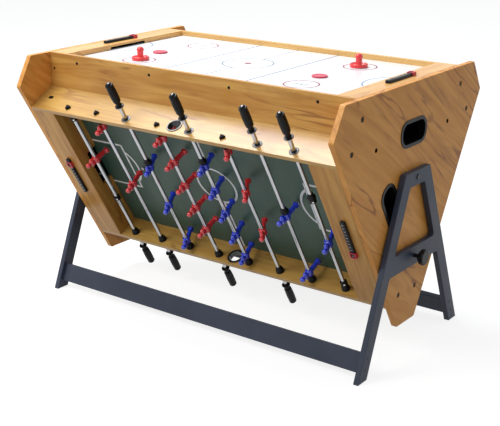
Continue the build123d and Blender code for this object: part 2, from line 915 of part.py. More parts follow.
def leg_frame():
    """The right leg frame: two legs, an apex bar and a crossbar cut from one board."""
    top = axis_height + apex_rise
    bar_bottom = top - apex_bar_depth
    cross_top = axis_height - crossbar_drop
    cross_bottom = cross_top - crossbar_depth
    outline = profile([
        (-foot_spread / 2, 0), (foot_spread / 2, 0), (apex_width / 2, top), (-apex_width / 2, top)])
    window = profile([
        (-leg_inner_y(cross_top), cross_top),
        (leg_inner_y(cross_top), cross_top),
        (leg_inner_y(bar_bottom), bar_bottom),
        (-leg_inner_y(bar_bottom), bar_bottom),
    ])
    window = fillet(window.vertices(), frame_corner_radius)
    gap = profile([
        (-leg_inner_y(-overrun), -overrun),
        (leg_inner_y(-overrun), -overrun),
        (leg_inner_y(cross_bottom), cross_bottom),
        (-leg_inner_y(cross_bottom), cross_bottom),
    ])
    gap = fillet(gap.vertices().sort_by(Axis.Y)[-2:], frame_corner_radius)
    board = extrude(Plane.YZ.offset(frame_inner_x) * (outline - window - gap),
                    amount=frame_thickness)
    board -= Pos(0, 0, axis_height) * x_cylinder(pivot_bolt_radius + fitting_clearance,
                                                 frame_inner_x - overrun,
                                                 frame_outer_x + overrun)
    board -= Pos(0, 0, axis_height - lock_reach) * x_cylinder(
        lock_pin_radius + running_clearance, frame_inner_x - overrun, frame_outer_x + overrun)
    return board


def stretcher(side):
    """A board between the leg frames that leans with the legs at the front or the back."""
    lean = degrees(atan2(leg_slope_share(), 1))
    centre_y = foot_spread / 2 - leg_foot_width / 2 - leg_slope_share() * stretcher_centre_height
    board = Box(2 * frame_inner_x, stretcher_thickness, stretcher_height)
    return Pos(0, side * centre_y, stretcher_centre_height) * Rot(side * lean, 0, 0) * board


def pivot_bolt_set():
    """The right pivot: a bolt with its head outside, a spacer washer and a nut inside."""
    nut_x = panel_inner_x - seat_clearance
    end_x = nut_x - pivot_nut_height
    bolt = x_cylinder(pivot_bolt_radius, end_x, frame_outer_x)
    bolt += x_cylinder(pivot_head_radius, frame_outer_x, frame_outer_x + pivot_head_height)
    bolt += extrude(Plane.YZ.offset(end_x) * RegularPolygon(pivot_nut_radius, 6),
                    amount=nut_x - end_x)
    washer = x_cylinder(pivot_washer_radius, panel_outer_x + seat_clearance, frame_inner_x)
    washer -= x_cylinder(pivot_bolt_radius + fitting_clearance, panel_outer_x - overrun,
                         frame_outer_x)
    return [Pos(0, 0, axis_height) * bolt, Pos(0, 0, axis_height) * washer]


def lock_knob():
    """The right lock knob, drawn back so that its pin is clear of the end panel."""
    hub_x = frame_outer_x + knob_rest_gap
    head_x = hub_x + knob_hub_length
    end_x = head_x + knob_head_length
    head = x_cylinder(knob_head_radius, head_x, end_x)
    head = fillet(head.edges().filter_by(GeomType.CIRCLE), knob_edge_radius)
    scallop = Pos(0, knob_head_radius + knob_scallop_radius - knob_scallop_depth, 0) * x_cylinder(
        knob_scallop_radius, head_x - overrun, end_x + overrun)
    for k in range(knob_scallop_count):
        head -= Rot(360 * k / knob_scallop_count, 0, 0) * scallop
    knob = head + x_cylinder(knob_hub_radius, hub_x, head_x)
    knob += x_cylinder(lock_pin_radius, frame_inner_x, hub_x)
    return Pos(0, 0, axis_height - lock_reach) * knob


# Nodes

def all_nodes():
    """Every node's name and its solids."""
    right_panel = end_panel()
    right_frame = leg_frame()
    right_knob = lock_knob()
    right_pivot = pivot_bolt_set()
    nodes = {
        "left_end_panel": [mirrored_x(right_panel)],
        "right_end_panel": [right_panel],
        "panel_bolts": panel_bolts(),
        "hockey_side_rails": [on_face("hockey", side_rail(s)) for s in (-1, 1)],
        "foosball_side_rails": [on_face("foosball", foosball_side_rail(s)) for s in (-1, 1)],
        "pool_side_rails": [on_face("pool", side_rail(s)) for s in (-1, 1)],
        "left_leg_frame": [mirrored_x(right_frame)],
        "right_leg_frame": [right_frame],
        "front_stretcher": [stretcher(-1)],
        "rear_stretcher": [stretcher(1)],
        "pivot_bolts": right_pivot + [mirrored_x(piece) for piece in right_pivot],
        "left_lock_knob": [mirrored_x(right_knob)],
        "right_lock_knob": [right_knob],
        "hockey_playfield": [on_face("hockey", board_with_drops(
            hockey_level, hockey_board_thickness, hockey_end_x + hockey_lip,
            hockey_slot_width))],
        "foosball_playfield": [on_face("foosball", board_with_drops(
            foosball_level, foosball_board_thickness, goal_wall_x + goal_wall_thickness,
            tray_chute_width))],
        "pool_bed": [on_face("pool", pool_bed())],
        "pool_cushions": [on_face("pool", piece) for piece in pool_cushions()],
        "pool_pockets": [on_face("pool", piece) for piece in pool_pockets()],
        "return_trays": return_trays(),
        "rod_bearings": rod_bearings(),
        "rail_bumpers": rail_bumpers(),
        "ball_entries": ball_entries(),
        "score_bars": score_bars(),
        "air_blower": [air_blower()],
    }
    ends = {
        "hockey_end_rails": ("hockey", hockey_end_rail()),
        "foosball_end_rails": ("foosball", foosball_end_rail()),
        "foosball_goal_walls": ("foosball", goal_wall()),
        "pool_end_rails": ("pool", pool_end_rail()),
    }
    for name, (face, piece) in ends.items():
        placed = on_face(face, piece)
        nodes[name] = [placed, mirrored_x(placed)]
    hockey_pointer = pointer("hockey", hockey_pointer_place)
    nodes["hockey_left_pointer"] = [mirrored_x(hockey_pointer)]
    nodes["hockey_right_pointer"] = [hockey_pointer]
    nodes["foosball_left_pointer"] = [
        mirrored_x(pointer("foosball", foosball_left_pointer_place))]
    nodes["foosball_right_pointer"] = [pointer("foosball", foosball_right_pointer_place)]
    mallet_x = hockey_end_x - mallet_end_rail_gap
    mallet_y = rail_inner_y - mallet_side_rail_gap
    nodes["left_mallet"] = [on_hockey_field(mallet(), -mallet_x, -mallet_y)]
    nodes["right_mallet"] = [on_hockey_field(mallet(), mallet_x, mallet_y)]
    nodes["left_puck"] = [on_hockey_field(
        puck(), left_puck_end_rail_gap - hockey_end_x, -left_puck_side)]
    nodes["right_puck"] = [on_hockey_field(
        puck(), hockey_end_x - right_puck_end_rail_gap, -right_puck_side)]
    figure = man()
    for number in rod_numbers:
        label = number + 1
        nodes[f"inner_rod_{label}"] = [on_face("foosball", rod_location(number) * inner_rod())]
        nodes[f"rod_{label}"] = rod_assembly(number)
        nodes[f"men_{label}"] = rod_players(number, figure)
    return nodes


def main():
    os.makedirs("parts", exist_ok=True)
    for name, pieces in all_nodes().items():
        solids = [solid for piece in pieces for solid in piece.solids()]
        export_step(Compound(solids), f"parts/{name}.step")


main()
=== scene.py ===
import math

import bmesh
import bpy
from mathutils import Matrix, Vector


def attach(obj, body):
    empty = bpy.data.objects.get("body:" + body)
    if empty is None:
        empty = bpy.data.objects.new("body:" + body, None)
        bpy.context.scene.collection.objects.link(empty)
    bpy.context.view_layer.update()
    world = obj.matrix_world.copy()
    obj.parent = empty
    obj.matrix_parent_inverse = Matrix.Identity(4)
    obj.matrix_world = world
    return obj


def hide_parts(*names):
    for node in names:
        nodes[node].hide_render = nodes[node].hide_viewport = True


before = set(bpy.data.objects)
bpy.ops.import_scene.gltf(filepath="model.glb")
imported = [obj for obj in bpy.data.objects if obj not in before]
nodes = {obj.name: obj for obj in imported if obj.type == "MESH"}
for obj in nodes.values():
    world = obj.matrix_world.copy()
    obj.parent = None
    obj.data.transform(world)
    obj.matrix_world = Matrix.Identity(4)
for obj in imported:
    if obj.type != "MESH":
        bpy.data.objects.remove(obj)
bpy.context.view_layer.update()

# Sizes are in millimetres until a piece is made. Each playing face is drawn facing up about
# the axis that the cabinet turns on, and carried to its place by its own matrix.
MM = 0.001
AXIS_HEIGHT = 562.0
FACE_REACH = 285.0
HOCKEY_LEVEL = 268.0
FOOSBALL_LEVEL = 199.0
PANEL_INNER_X = 591.5
PANEL_OUTER_X = 609.5
FRAME_OUTER_X = 631.5
BOX_Y = 301.0
RAIL_INNER_Y = 287.0
GOAL_WALL_X = 496.5
HOCKEY_END_X = 521.5

# How far paint lies over its board, and one layer of paint over another
DECAL_RISE = 0.15
LAYER_RISE = 0.02

# The rods from left to right: how many men each has, 1 where its handle is at the upper rail or
# -1 at the lower one, and how far its men lean, in degrees
ROD_MEN = [1, 2, 3, 5, 5, 3, 2, 1]
ROD_SIDES = [-1, -1, 1, -1, 1, -1, 1, 1]
ROD_TILTS = [9.6, -9.8, -17.6, 5.3, -8.0, -27.0, 7.0, -10.0]
ROD_PITCH = 126.0
ROD_LEVEL = 260.0
BEARING_FACE_Y = 284.0
MEN_PITCHES = {1: 0.0, 2: 0.905 * BEARING_FACE_Y, 3: 0.609 * BEARING_FACE_Y,
               5: 0.3575 * BEARING_FACE_Y}
MAN_WIDTH = 31.0
STOP_RING_REACH = 1.2887 * BEARING_FACE_Y / 2
STOP_RING_LENGTH = 14.0
BUMPER_LENGTH = 19.0
BUMPER_GAP = 0.3


def face_matrix(angle):
    """Carries a face's own frame, in metres, to the table's."""
    lift = Matrix.Translation((0, 0, AXIS_HEIGHT * MM))
    return lift @ Matrix.Rotation(math.radians(angle), 4, "X")


HOCKEY = face_matrix(0)
FOOSBALL = face_matrix(120)
POOL = face_matrix(-120)


def shifted(x, y, z):
    """A move given in millimetres."""
    return Matrix.Translation((x * MM, y * MM, z * MM))


def turned(angle, axis):
    """A turn given in degrees."""
    return Matrix.Rotation(math.radians(angle), 4, axis)


def span(side, near, far):
    """The range between two distances on one side of the middle, low end first."""
    return sorted((side * near, side * far))


# Mesh helpers


class Shape:
    """A mesh being built, in millimetres."""

    def __init__(self):
        self.points = []
        self.faces = []

    def add(self, points, faces, matrix=None):
        """Adds a mesh, carried by a matrix in metres."""
        start = len(self.points)
        for point in points:
            v = Vector(point)
            if matrix is not None:
                v = matrix @ (v * MM) / MM
            self.points.append(v)
        self.faces += [[start + i for i in face] for face in faces]
        return self

    def join(self, other, matrix=None):
        return self.add(other.points, other.faces, matrix)


def bands(rings, count, closed=False):
    """The faces between rings of equal count, and from the last to the first if closed."""
    faces = []
    for i in range(rings if closed else rings - 1):
        j = (i + 1) % rings
        for k in range(count):
            m = (k + 1) % count
            faces.append([i * count + k, i * count + m, j * count + m, j * count + k])
    return faces


def lathe(profile, segments=32, closed=False, axis="Y"):
    """Turns (radius, place) points about an axis. A closed profile gives a ring."""
    points = []
    for radius, place in profile:
        for k in range(segments):
            a = 2 * math.pi * k / segments
            u, v = radius * math.cos(a), radius * math.sin(a)
            points.append({"X": (place, u, v), "Y": (v, place, u), "Z": (u, v, place)}[axis])
    count = len(profile)
    faces = bands(count, segments, closed)
    if not closed:
        for i in (0, count - 1):
            if profile[i][0] > 0.01:
                faces.append([i * segments + k for k in range(segments)])
    return Shape().add(points, faces)


def ring(profile, segments=36, start=0.0):
    """A ring about Y from a closed profile, moved along Y."""
    return lathe([(radius, start + place) for radius, place in profile], segments, closed=True)


def loft(rings):
    """Joins rings of equal count and closes both ends."""
    count = len(rings[0])
    points = [point for level in rings for point in level]
    faces = bands(len(rings), count)
    faces.append(list(range(count))[::-1])
    faces.append([(len(rings) - 1) * count + k for k in range(count)])
    return Shape().add(points, faces)


def prism(outline, low, high):
    """A flat outline raised along Z."""
    return loft([[(x, y, low) for x, y in outline], [(x, y, high) for x, y in outline]])


def rounded_outline(width, height, radius, steps=6):
    """A rounded rectangle about the origin."""
    points = []
    for k, (sx, sy) in enumerate(((1, 1), (-1, 1), (-1, -1), (1, -1))):
        cx, cy = sx * (width / 2 - radius), sy * (height / 2 - radius)
        for i in range(steps + 1):
            a = math.radians(90 * k + 90 * i / steps)
            points.append((cx + radius * math.cos(a), cy + radius * math.sin(a)))
    return points


def arc_strip(cx, cy, radius, width, start, end, z, steps=64):
    """A painted line along an arc, from one angle in degrees to another."""
    points, faces = [], []
    for i in range(steps + 1):
        a = math.radians(start + (end - start) * i / steps)
        for r in (radius - width / 2, radius + width / 2):
            points.append((cx + r * math.cos(a), cy + r * math.sin(a), z))
    for i in range(steps):
        faces.append([2 * i, 2 * i + 1, 2 * i + 3, 2 * i + 2])
    return Shape().add(points, faces)


def circle_strip(cx, cy, radius, width, z, steps):
    """A painted circle."""
    return arc_strip(cx, cy, radius, width, 0, 360, z, steps)


def bow_strip(side, x, radius, chord_x, width, z):
    """A painted arc about (x, 0) that bulges from a chord towards the middle of the field."""
    half_angle = math.degrees(math.acos((x - chord_x) / radius))
    centre = 180 if side > 0 else 0
    return arc_strip(side * x, 0, radius, width, centre - half_angle, centre + half_angle, z)


def line_strip(x0, y0, x1, y1, width, z):
    """A painted straight line."""
    along = Vector((x1 - x0, y1 - y0)).normalized()
    nx, ny = -along.y * width / 2, along.x * width / 2
    points = [(x0 + nx, y0 + ny, z), (x0 - nx, y0 - ny, z),
              (x1 - nx, y1 - ny, z), (x1 + nx, y1 + ny, z)]
    return Shape().add(points, [[0, 1, 2, 3]])


def disc(cx, cy, radius, z, steps=40):
    """A painted spot."""
    points = [(cx, cy, z)]
    for k in range(steps):
        a = 2 * math.pi * k / steps
        points.append((cx + radius * math.cos(a), cy + radius * math.sin(a), z))
    return Shape().add(points, [[0, 1 + k, 1 + (k + 1) % steps] for k in range(steps)])


def block(x, y, z):
    """A box between the two ends of each range."""
    outline = [(x[0], y[0]), (x[1], y[0]), (x[1], y[1]), (x[0], y[1])]
    return prism(outline, z[0], z[1])


def add_object(name, data):
    obj = bpy.data.objects.new(name, data)
    bpy.context.scene.collection.objects.link(obj)
    return obj


def piece(name, shape, material, body, matrix=Matrix(), smooth=35, stands_for=()):
    """Makes a shape into an object that rides on a body, with its material given by name."""
    mesh = bpy.data.meshes.new(name)
    mesh.from_pydata([tuple(matrix @ (p * MM)) for p in shape.points], [], shape.faces)
    work = bmesh.new()
    work.from_mesh(mesh)
    bmesh.ops.remove_doubles(work, verts=work.verts, dist=1e-6)
    bmesh.ops.recalc_face_normals(work, faces=work.faces)
    work.to_mesh(mesh)
    work.free()
    mesh.shade_smooth()
    mesh.set_sharp_from_angle(angle=math.radians(smooth))
    mesh.materials.append(MATERIALS[material])
    obj = add_object(name, mesh)
    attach(obj, body)
    if stands_for:
        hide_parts(*stands_for)


def dress(name, material, width=0.0, segments=2):
    """Gives a CAD node its material, and edges rounded as sanding or moulding does."""
    obj = nodes[name]
    obj.data.materials.clear()
    obj.data.materials.append(MATERIALS[material])
    if not width:
        return
    weld = obj.modifiers.new("weld", "WELD")
    weld.merge_threshold = 1e-5
    flat = obj.modifiers.new("flat", "DECIMATE")
    flat.decimate_type = "DISSOLVE"
    flat.angle_limit = math.radians(1.0)
    bevel = obj.modifiers.new("edges", "BEVEL")
    bevel.width = width * MM
    bevel.segments = segments
    bevel.limit_method = "ANGLE"
    bevel.angle_limit = math.radians(30)
    bevel.use_clamp_overlap = False
    bevel.miter_outer = "MITER_ARC"
    weighted = obj.modifiers.new("normals", "WEIGHTED_NORMAL")
    weighted.keep_sharp = False


# Material helpers

MATERIALS = {}


def empty_tree(owner):
    """The cleared node tree of a material or a world."""
    owner.use_nodes = True
    owner.node_tree.nodes.clear()
    return owner.node_tree


def rgba(colour):
    """A colour as four numbers, or a socket as it is."""
    if isinstance(colour, bpy.types.NodeSocket):
        return colour
    return (*colour[:3], 1.0)


def scaled(colour, factor):
    """A darker or lighter shade of a colour."""
    return [c * factor for c in colour]


class Graph:
    """The node graph of one material, which goes into MATERIALS under its name."""

    def __init__(self, name):
        MATERIALS[name] = bpy.data.materials.new(name)
        self.tree = empty_tree(MATERIALS[name])
        output = self.tree.nodes.new("ShaderNodeOutputMaterial")
        self.shader = self.tree.nodes.new("ShaderNodeBsdfPrincipled")
        self.join(self.shader.outputs[0], output.inputs["Surface"])
        self.coords = self.add("ShaderNodeTexCoord").outputs["Object"]

    def join(self, source, target):
        self.tree.links.new(source, target)

    def put(self, socket, value):
        """Sets an input to a constant or links it to a socket."""
        if isinstance(value, bpy.types.NodeSocket):
            self.join(value, socket)
        else:
            socket.default_value = value

    def add(self, kind, settings=None, **inputs):
        """A new node, with its settings and its inputs by name."""
        node = self.tree.nodes.new(kind)
        for key, value in (settings or {}).items():
            setattr(node, key, value)
        for key, value in inputs.items():
            self.put(node.inputs[key.replace("_", " ")], value)
        return node

    def fill(self, kind, values, settings=None):
        """A new node, with its first inputs in order."""
        node = self.add(kind, settings)
        for socket, value in zip(node.inputs, values):
            self.put(socket, value)
        return node

    def math(self, operation, *values):
        return self.fill("ShaderNodeMath", values, {"operation": operation}).outputs[0]

    def times(self, a, b):
        return self.math("MULTIPLY", a, b)

    def vector(self, operation, *values):
        node = self.fill("ShaderNodeVectorMath", values, {"operation": operation})
        return node.outputs["Value"] if operation in ("DOT_PRODUCT", "LENGTH") else node.outputs[0]

    def combine(self, *values):
        return self.fill("ShaderNodeCombineXYZ", values).outputs[0]

    def stretch(self, vector, scale):
        return self.vector("MULTIPLY", vector, scale)

    def noise(self, vector, scale, detail=2.0, roughness=0.5):
        node = self.add("ShaderNodeTexNoise", Vector=vector, Scale=scale, Detail=detail,
                        Roughness=roughness)
        return node.outputs[0]

    def between(self, value, low, high, to_low=0.0, to_high=1.0):
        """Maps the range from low to high onto another, clamped."""
        return self.fill("ShaderNodeMapRange", (value, low, high, to_low, to_high)).outputs[0]

    def mix(self, factor, a, b):
        node = self.add("ShaderNodeMix", {"data_type": "RGBA"})
        self.put(node.inputs[0], factor)
        self.put(node.inputs[6], rgba(a))
        self.put(node.inputs[7], rgba(b))
        return node.outputs[2]

    def ramp(self, value, stops):
        node = self.add("ShaderNodeValToRGB", Fac=value)
        ramp = node.color_ramp
        while len(ramp.elements) < len(stops):
            ramp.elements.new(1.0)
        for element, (place, colour) in zip(ramp.elements, stops):
            element.position = place
            element.color = rgba(colour)
        return node.outputs[0]

    def finish(self, colour, roughness, bump, strength, distance, **constants):
        """Feeds the shader, with constants for its other sockets."""
        self.put(self.shader.inputs["Base Color"], rgba(colour))
        self.put(self.shader.inputs["Roughness"], roughness)
        for key, value in constants.items():
            self.shader.inputs[key.replace("_", " ")].default_value = value
        node = self.add("ShaderNodeBump", Strength=strength, Distance=distance, Height=bump)
        self.join(node.outputs[0], self.shader.inputs["Normal"])


LIGHT_PINE = (0.72, 0.410, 0.105)
MIDDLE_PINE = (0.56, 0.262, 0.050)
DARK_PINE = (0.24, 0.070, 0.010)
# A paler pine painted on the boards behind the middle of the table, as the light on them
REAR_LIT_PINE = (0.86, 0.60, 0.26)


def pine(name, along, across, light, middle, dark=DARK_PINE, veins=1.0, gloss=0.42, coat=0.2,
         rear_painted_light=0.0):
    """Knotty pine with its grain along one direction of the table's frame.

    Where the last argument is given, the boards behind the middle of the table are that much
    paler, as painted light on them.
    """
    g = Graph(name)
    through = tuple(Vector(along).cross(Vector(across)))
    s = g.vector("DOT_PRODUCT", g.coords, along)
    t = g.vector("DOT_PRODUCT", g.coords, across)
    u = g.vector("DOT_PRODUCT", g.coords, through)
    place = g.combine(s, t, u)

    def grain(lengthwise, crosswise, *settings):
        """Noise as dense along and across the grain as the two numbers say."""
        return g.noise(g.stretch(place, (lengthwise, crosswise, crosswise)), *settings)

    # Knots stand in a few of the cells, each with a darker halo
    cells = g.add("ShaderNodeTexVoronoi", {"feature": "F1"},
                  Vector=g.stretch(place, (1.7, 5.2, 3.0)), Scale=1.0, Randomness=0.5)
    rare = g.between(g.add("ShaderNodeSeparateColor", Color=cells.outputs["Color"]).outputs[0],
                     0.66, 0.70)
    wobble = grain(5.0, 16.0, 1.5, 3.0)
    reach = g.math("ADD", cells.outputs["Distance"], g.times(wobble, 0.07))
    halo = g.times(g.between(reach, 0.05, 0.26, 1.0, 0.0), rare)
    knot = g.times(g.between(reach, 0.050, 0.080, 1.0, 0.0), rare)
    broad = grain(0.55, 6.5, 2.0, 4.0, 0.6)

    # Growth rings, each with a thin edge of late wood, that bend round the knots
    swirl = grain(0.38, 3.4, 1.8, 1.5, 0.5)
    rings = g.math("MULTIPLY_ADD", halo, 1.2, g.times(swirl, 22.0))
    rings = g.math("MULTIPLY_ADD", grain(2.0, 30.0, 1.0, 3.0), 0.7, rings)
    saw = g.math("FRACT", rings)
    late = g.times(g.math("POWER", saw, 2.5), g.between(saw, 0.93, 1.0, 1.0, 0.0))
    patch = grain(0.9, 4.5, 1.7, 3.0)
    late = g.times(late, g.between(patch, 0.44, 0.62, 0.10, 1.0))

    # Thin dark veins in places, then streaks, flames and fibres along the grain
    warp = grain(1.1, 8.0, 1.3, 3.0, 0.55)
    ridge = g.math("ABSOLUTE", g.math("SUBTRACT", warp, 0.5))
    vein = g.times(g.between(ridge, 0.004, 0.020, 1.0, 0.0),
                   g.between(grain(2.2, 5.0, 1.5, 2.0), 0.50, 0.60))
    streak = grain(0.8, 30.0, 1.6, 5.0, 0.62)
    flame = grain(1.2, 12.0, 1.9, 4.0, 0.6)
    fibre = grain(14.0, 520.0, 1.0, 3.0, 0.7)

    tone = g.ramp(broad, [(0.36, middle), (0.47, light), (0.58, middle), (0.70, light)])
    tone = g.mix(g.between(streak, 0.48, 0.64, 0.0, 0.55), tone, middle)
    tone = g.mix(g.times(late, 0.42), tone, dark)
    tone = g.mix(g.between(flame, 0.58, 0.72, 0.0, 0.50 * veins), tone, dark)
    tone = g.mix(g.times(vein, 0.62 * veins), tone, dark)
    tone = g.mix(g.between(fibre, 0.35, 0.75, 0.0, 0.16), tone, dark)
    tone = g.mix(g.times(halo, 0.55), tone, dark)
    tone = g.mix(g.times(knot, 0.80), tone, scaled(dark, 0.35))
    # Painted light: the boards behind the middle are mixed towards a paler pine
    if rear_painted_light:
        depth = g.vector("DOT_PRODUCT", g.coords, (0, 1, 0))
        tone = g.mix(g.between(depth, -0.01, 0.01, 0.0, rear_painted_light), tone, REAR_LIT_PINE)
    rough = g.between(fibre, 0.3, 0.7, gloss, gloss + 0.14)
    height = g.math("ADD", g.times(fibre, 0.6), g.times(late, -0.5))
    g.finish(tone, rough, height, strength=0.25, distance=0.0002, Coat_Weight=coat,
             Coat_Roughness=0.22, Specular_IOR_Level=0.30)


def painted(name, colour, gloss):
    """Slate paint on wood: faint grain and brush variation under a satin coat."""
    g = Graph(name)
    grain = g.noise(g.stretch(g.coords, (160.0, 160.0, 12.0)), 1.0, 3.0, 0.6)
    cloud = g.noise(g.coords, 9.0, 3.0)
    peel = g.noise(g.coords, 900.0, 1.0)
    tone = g.mix(g.between(cloud, 0.3, 0.7, 0.0, 0.5), scaled(colour, 0.82), scaled(colour, 1.2))
    tone = g.mix(g.between(grain, 0.55, 0.8, 0.0, 0.25), tone, scaled(colour, 0.6))
    rough = g.between(cloud, 0.3, 0.7, gloss - 0.05, gloss + 0.08)
    height = g.math("ADD", g.times(grain, 0.6), g.times(peel, 0.5))
    g.finish(tone, rough, height, strength=0.22, distance=0.0002, Specular_IOR_Level=0.2)


def plastic(name, colour, gloss, texture=0.12, spread=0.12, scale=700.0, specular=0.5,
            coat=0.0, coat_gloss=0.03):
    """Moulded plastic or rubber: a fine moulded skin and slight handling marks."""
    g = Graph(name)
    skin = g.noise(g.coords, scale, 2.0, 0.6)
    cloud = g.noise(g.coords, 22.0, 3.0)
    scuff = g.noise(g.stretch(g.coords, (60.0, 240.0, 90.0)), 1.0, 4.0, 0.7)
    tone = g.mix(g.between(cloud, 0.3, 0.7), scaled(colour, 1 - spread),
                 scaled(colour, 1 + spread))
    rough = g.math("ADD", g.between(cloud, 0.3, 0.7, gloss - 0.03, gloss + 0.04),
                   g.between(scuff, 0.62, 0.80, 0.0, 0.12))
    g.finish(tone, rough, skin, strength=texture, distance=0.0001,
             Specular_IOR_Level=specular, Coat_Weight=coat, Coat_Roughness=coat_gloss)


def metal(name, colour, gloss, brushed=(1.0, 1.0, 1.0)):
    """Plated or brushed metal, with its marks drawn out where brushed is small."""
    g = Graph(name)
    lines = g.noise(g.stretch(g.coords, tuple(900.0 * b for b in brushed)), 1.0, 3.0, 0.6)
    smear = g.noise(g.coords, 14.0, 3.0)
    tone = g.mix(g.between(smear, 0.35, 0.7), scaled(colour, 0.93), colour)
    rough = g.math("ADD", g.between(smear, 0.3, 0.7, gloss, gloss + 0.05),
                   g.between(lines, 0.4, 0.7, 0.0, 0.05))
    g.finish(tone, rough, lines, strength=0.08, distance=0.00005, Metallic=1.0)


def laminate(name, colour, pitch, hole):
    """A smooth field board with a grid of small air holes, painted dark as the shade in them,
    their pitch and radius in metres.
    """
    g = Graph(name)
    cell = g.vector("FRACTION", g.stretch(g.coords, (1 / pitch, 1 / pitch, 0.0)))
    place = g.vector("SUBTRACT", cell, (0.5, 0.5, 0.0))
    reach = g.vector("LENGTH", place)
    dot = g.between(reach, hole / pitch * 0.8, hole / pitch * 1.2, 1.0, 0.0)
    cloud = g.noise(g.coords, 6.0, 3.0)
    marks = g.noise(g.stretch(g.coords, (9.0, 60.0, 30.0)), 1.0, 5.0, 0.7)
    tone = g.mix(g.between(cloud, 0.3, 0.7), scaled(colour, 0.97), colour)
    tone = g.mix(g.between(marks, 0.68, 0.82, 0.0, 0.10), tone, scaled(colour, 0.8))
    # Painted shade: the holes are mixed to near black
    tone = g.mix(dot, tone, (0.05, 0.05, 0.05))
    rough = g.between(marks, 0.3, 0.8, 0.22, 0.34)
    height = g.math("SUBTRACT", 1.0, dot)
    g.finish(tone, rough, height, strength=0.5, distance=0.0004)


def green_field(name, colour):
    """A printed field board with a faint mottle and rub marks."""
    g = Graph(name)
    cloud = g.noise(g.coords, 7.0, 4.0)
    grain = g.noise(g.coords, 420.0, 2.0)
    rub = g.noise(g.stretch(g.coords, (30.0, 5.0, 5.0)), 1.0, 4.0, 0.7)
    tone = g.mix(g.between(cloud, 0.3, 0.7), scaled(colour, 0.88), scaled(colour, 1.12))
    tone = g.mix(g.between(rub, 0.60, 0.85, 0.0, 0.18), tone, scaled(colour, 1.6))
    rough = g.between(rub, 0.3, 0.8, 0.40, 0.55)
    g.finish(tone, rough, grain, strength=0.15, distance=0.0001)


def cloth(name, colour):
    """Napped pool cloth: a woven ground under short fibres."""
    g = Graph(name)
    warp, weft = (g.add("ShaderNodeTexWave", {"wave_type": "BANDS", "bands_direction": direction},
                        Vector=g.coords, Scale=420.0, Distortion=1.5).outputs[1]
                  for direction in ("X", "DIAGONAL"))
    nap = g.noise(g.coords, 1500.0, 4.0, 0.7)
    cloud = g.noise(g.coords, 10.0, 3.0)
    tone = g.mix(g.between(cloud, 0.3, 0.7), scaled(colour, 0.85), scaled(colour, 1.15))
    tone = g.mix(g.between(nap, 0.5, 0.8, 0.0, 0.3), tone, scaled(colour, 1.5))
    rough = g.between(cloud, 0.3, 0.7, 0.85, 0.95)
    height = g.math("ADD", g.times(warp, weft), g.times(nap, 0.8))
    g.finish(tone, rough, height, strength=0.35, distance=0.0003, Sheen_Weight=0.25,
             Sheen_Roughness=0.4)


def paint_line(name, colour):
    """A printed line, rubbed a little thin."""
    g = Graph(name)
    rub = g.noise(g.coords, 120.0, 4.0, 0.7)
    tone = g.mix(g.between(rub, 0.55, 0.8, 0.0, 0.08), colour, scaled(colour, 0.6))
    rough = g.between(rub, 0.3, 0.7, 0.3, 0.42)
    g.finish(tone, rough, rub, strength=0.05, distance=0.0001)


# The grain runs along rails, up end rails, across the top and at a slant over the end panels
SLANT = math.radians(-36)
# The rails behind the middle are painted paler, as light on them
pine("pine_rail", (1, 0, 0), (0, 0.8, 0.6), LIGHT_PINE, MIDDLE_PINE, rear_painted_light=0.4)
# The top's pine is painted lighter than the other boards, as the light on the top
pine("pine_top_painted_light", (0, 1, 0), (1, 0, 0), (0.84, 0.475, 0.150), (0.72, 0.370, 0.100), veins=0.7,
     gloss=0.36, coat=0.4)
pine("pine_upright", (0, 0.5, -0.866), (1, 0, 0), (0.66, 0.36, 0.082), (0.50, 0.225, 0.038))
pine("pine_pool_end", (0, 0.5, 0.866), (1, 0, 0), LIGHT_PINE, MIDDLE_PINE)
pine("pine_ledge", (1, 0, 0), (0, 0.866, 0.5), (0.63, 0.385, 0.095),
     (0.52, 0.275, 0.058), veins=0.9, gloss=0.36, coat=0.4)
# The end panels' pine is painted brighter than the rails', as painted light on faces that the
# lamps do not reach
pine("pine_panel_painted_light", (0, math.cos(SLANT), math.sin(SLANT)),
     (0, -math.sin(SLANT), math.cos(SLANT)), (0.84, 0.405, 0.098),
     (0.70, 0.305, 0.060), (0.30, 0.088, 0.014), veins=1.3, gloss=0.46, coat=0.1)
painted("slate_paint", (0.054, 0.065, 0.096), 0.40)
laminate("white_board", (0.83, 0.85, 0.88), pitch=0.0254, hole=0.0007)
green_field("green_board", (0.044, 0.098, 0.070))
cloth("pool_cloth", (0.018, 0.15, 0.055))
plastic("matt_black", (0.006, 0.006, 0.007), 0.60, specular=0.10)
plastic("black_plastic", (0.009, 0.009, 0.010), 0.34, specular=0.18)
plastic("entry_plastic", (0.010, 0.010, 0.011), 0.18, 0.1, specular=0.60)
plastic("grip_plastic", (0.005, 0.005, 0.006), 0.26, 0.2, specular=0.15)
plastic("bezel_plastic", (0.005, 0.005, 0.006), 0.28, 0.25, specular=0.16)
plastic("black_rubber", (0.007, 0.007, 0.008), 0.42, 0.3, specular=0.18)
plastic("hole_black", (0.003, 0.003, 0.003), 0.7, specular=0.1)
plastic("bolt_black", (0.004, 0.004, 0.005), 0.40, 0.2, specular=0.10)
plastic("highlight_grey_plastic", (0.30, 0.31, 0.33), 0.3, 0.15)
SMOOTH = {"texture": 0.05, "spread": 0.05, "scale": 500.0}
PLAYER = {**SMOOTH, "spread": 0.08, "coat": 0.6, "coat_gloss": 0.08}
plastic("red_plastic", (0.82, 0.022, 0.030), 0.16, **PLAYER)
plastic("blue_plastic", (0.016, 0.050, 0.74), 0.16, **PLAYER)
plastic("mallet_red", (0.80, 0.032, 0.036), 0.24, **SMOOTH, coat=0.3, coat_gloss=0.15)
plastic("pointer_red", (0.56, 0.020, 0.045), 0.28, **SMOOTH)
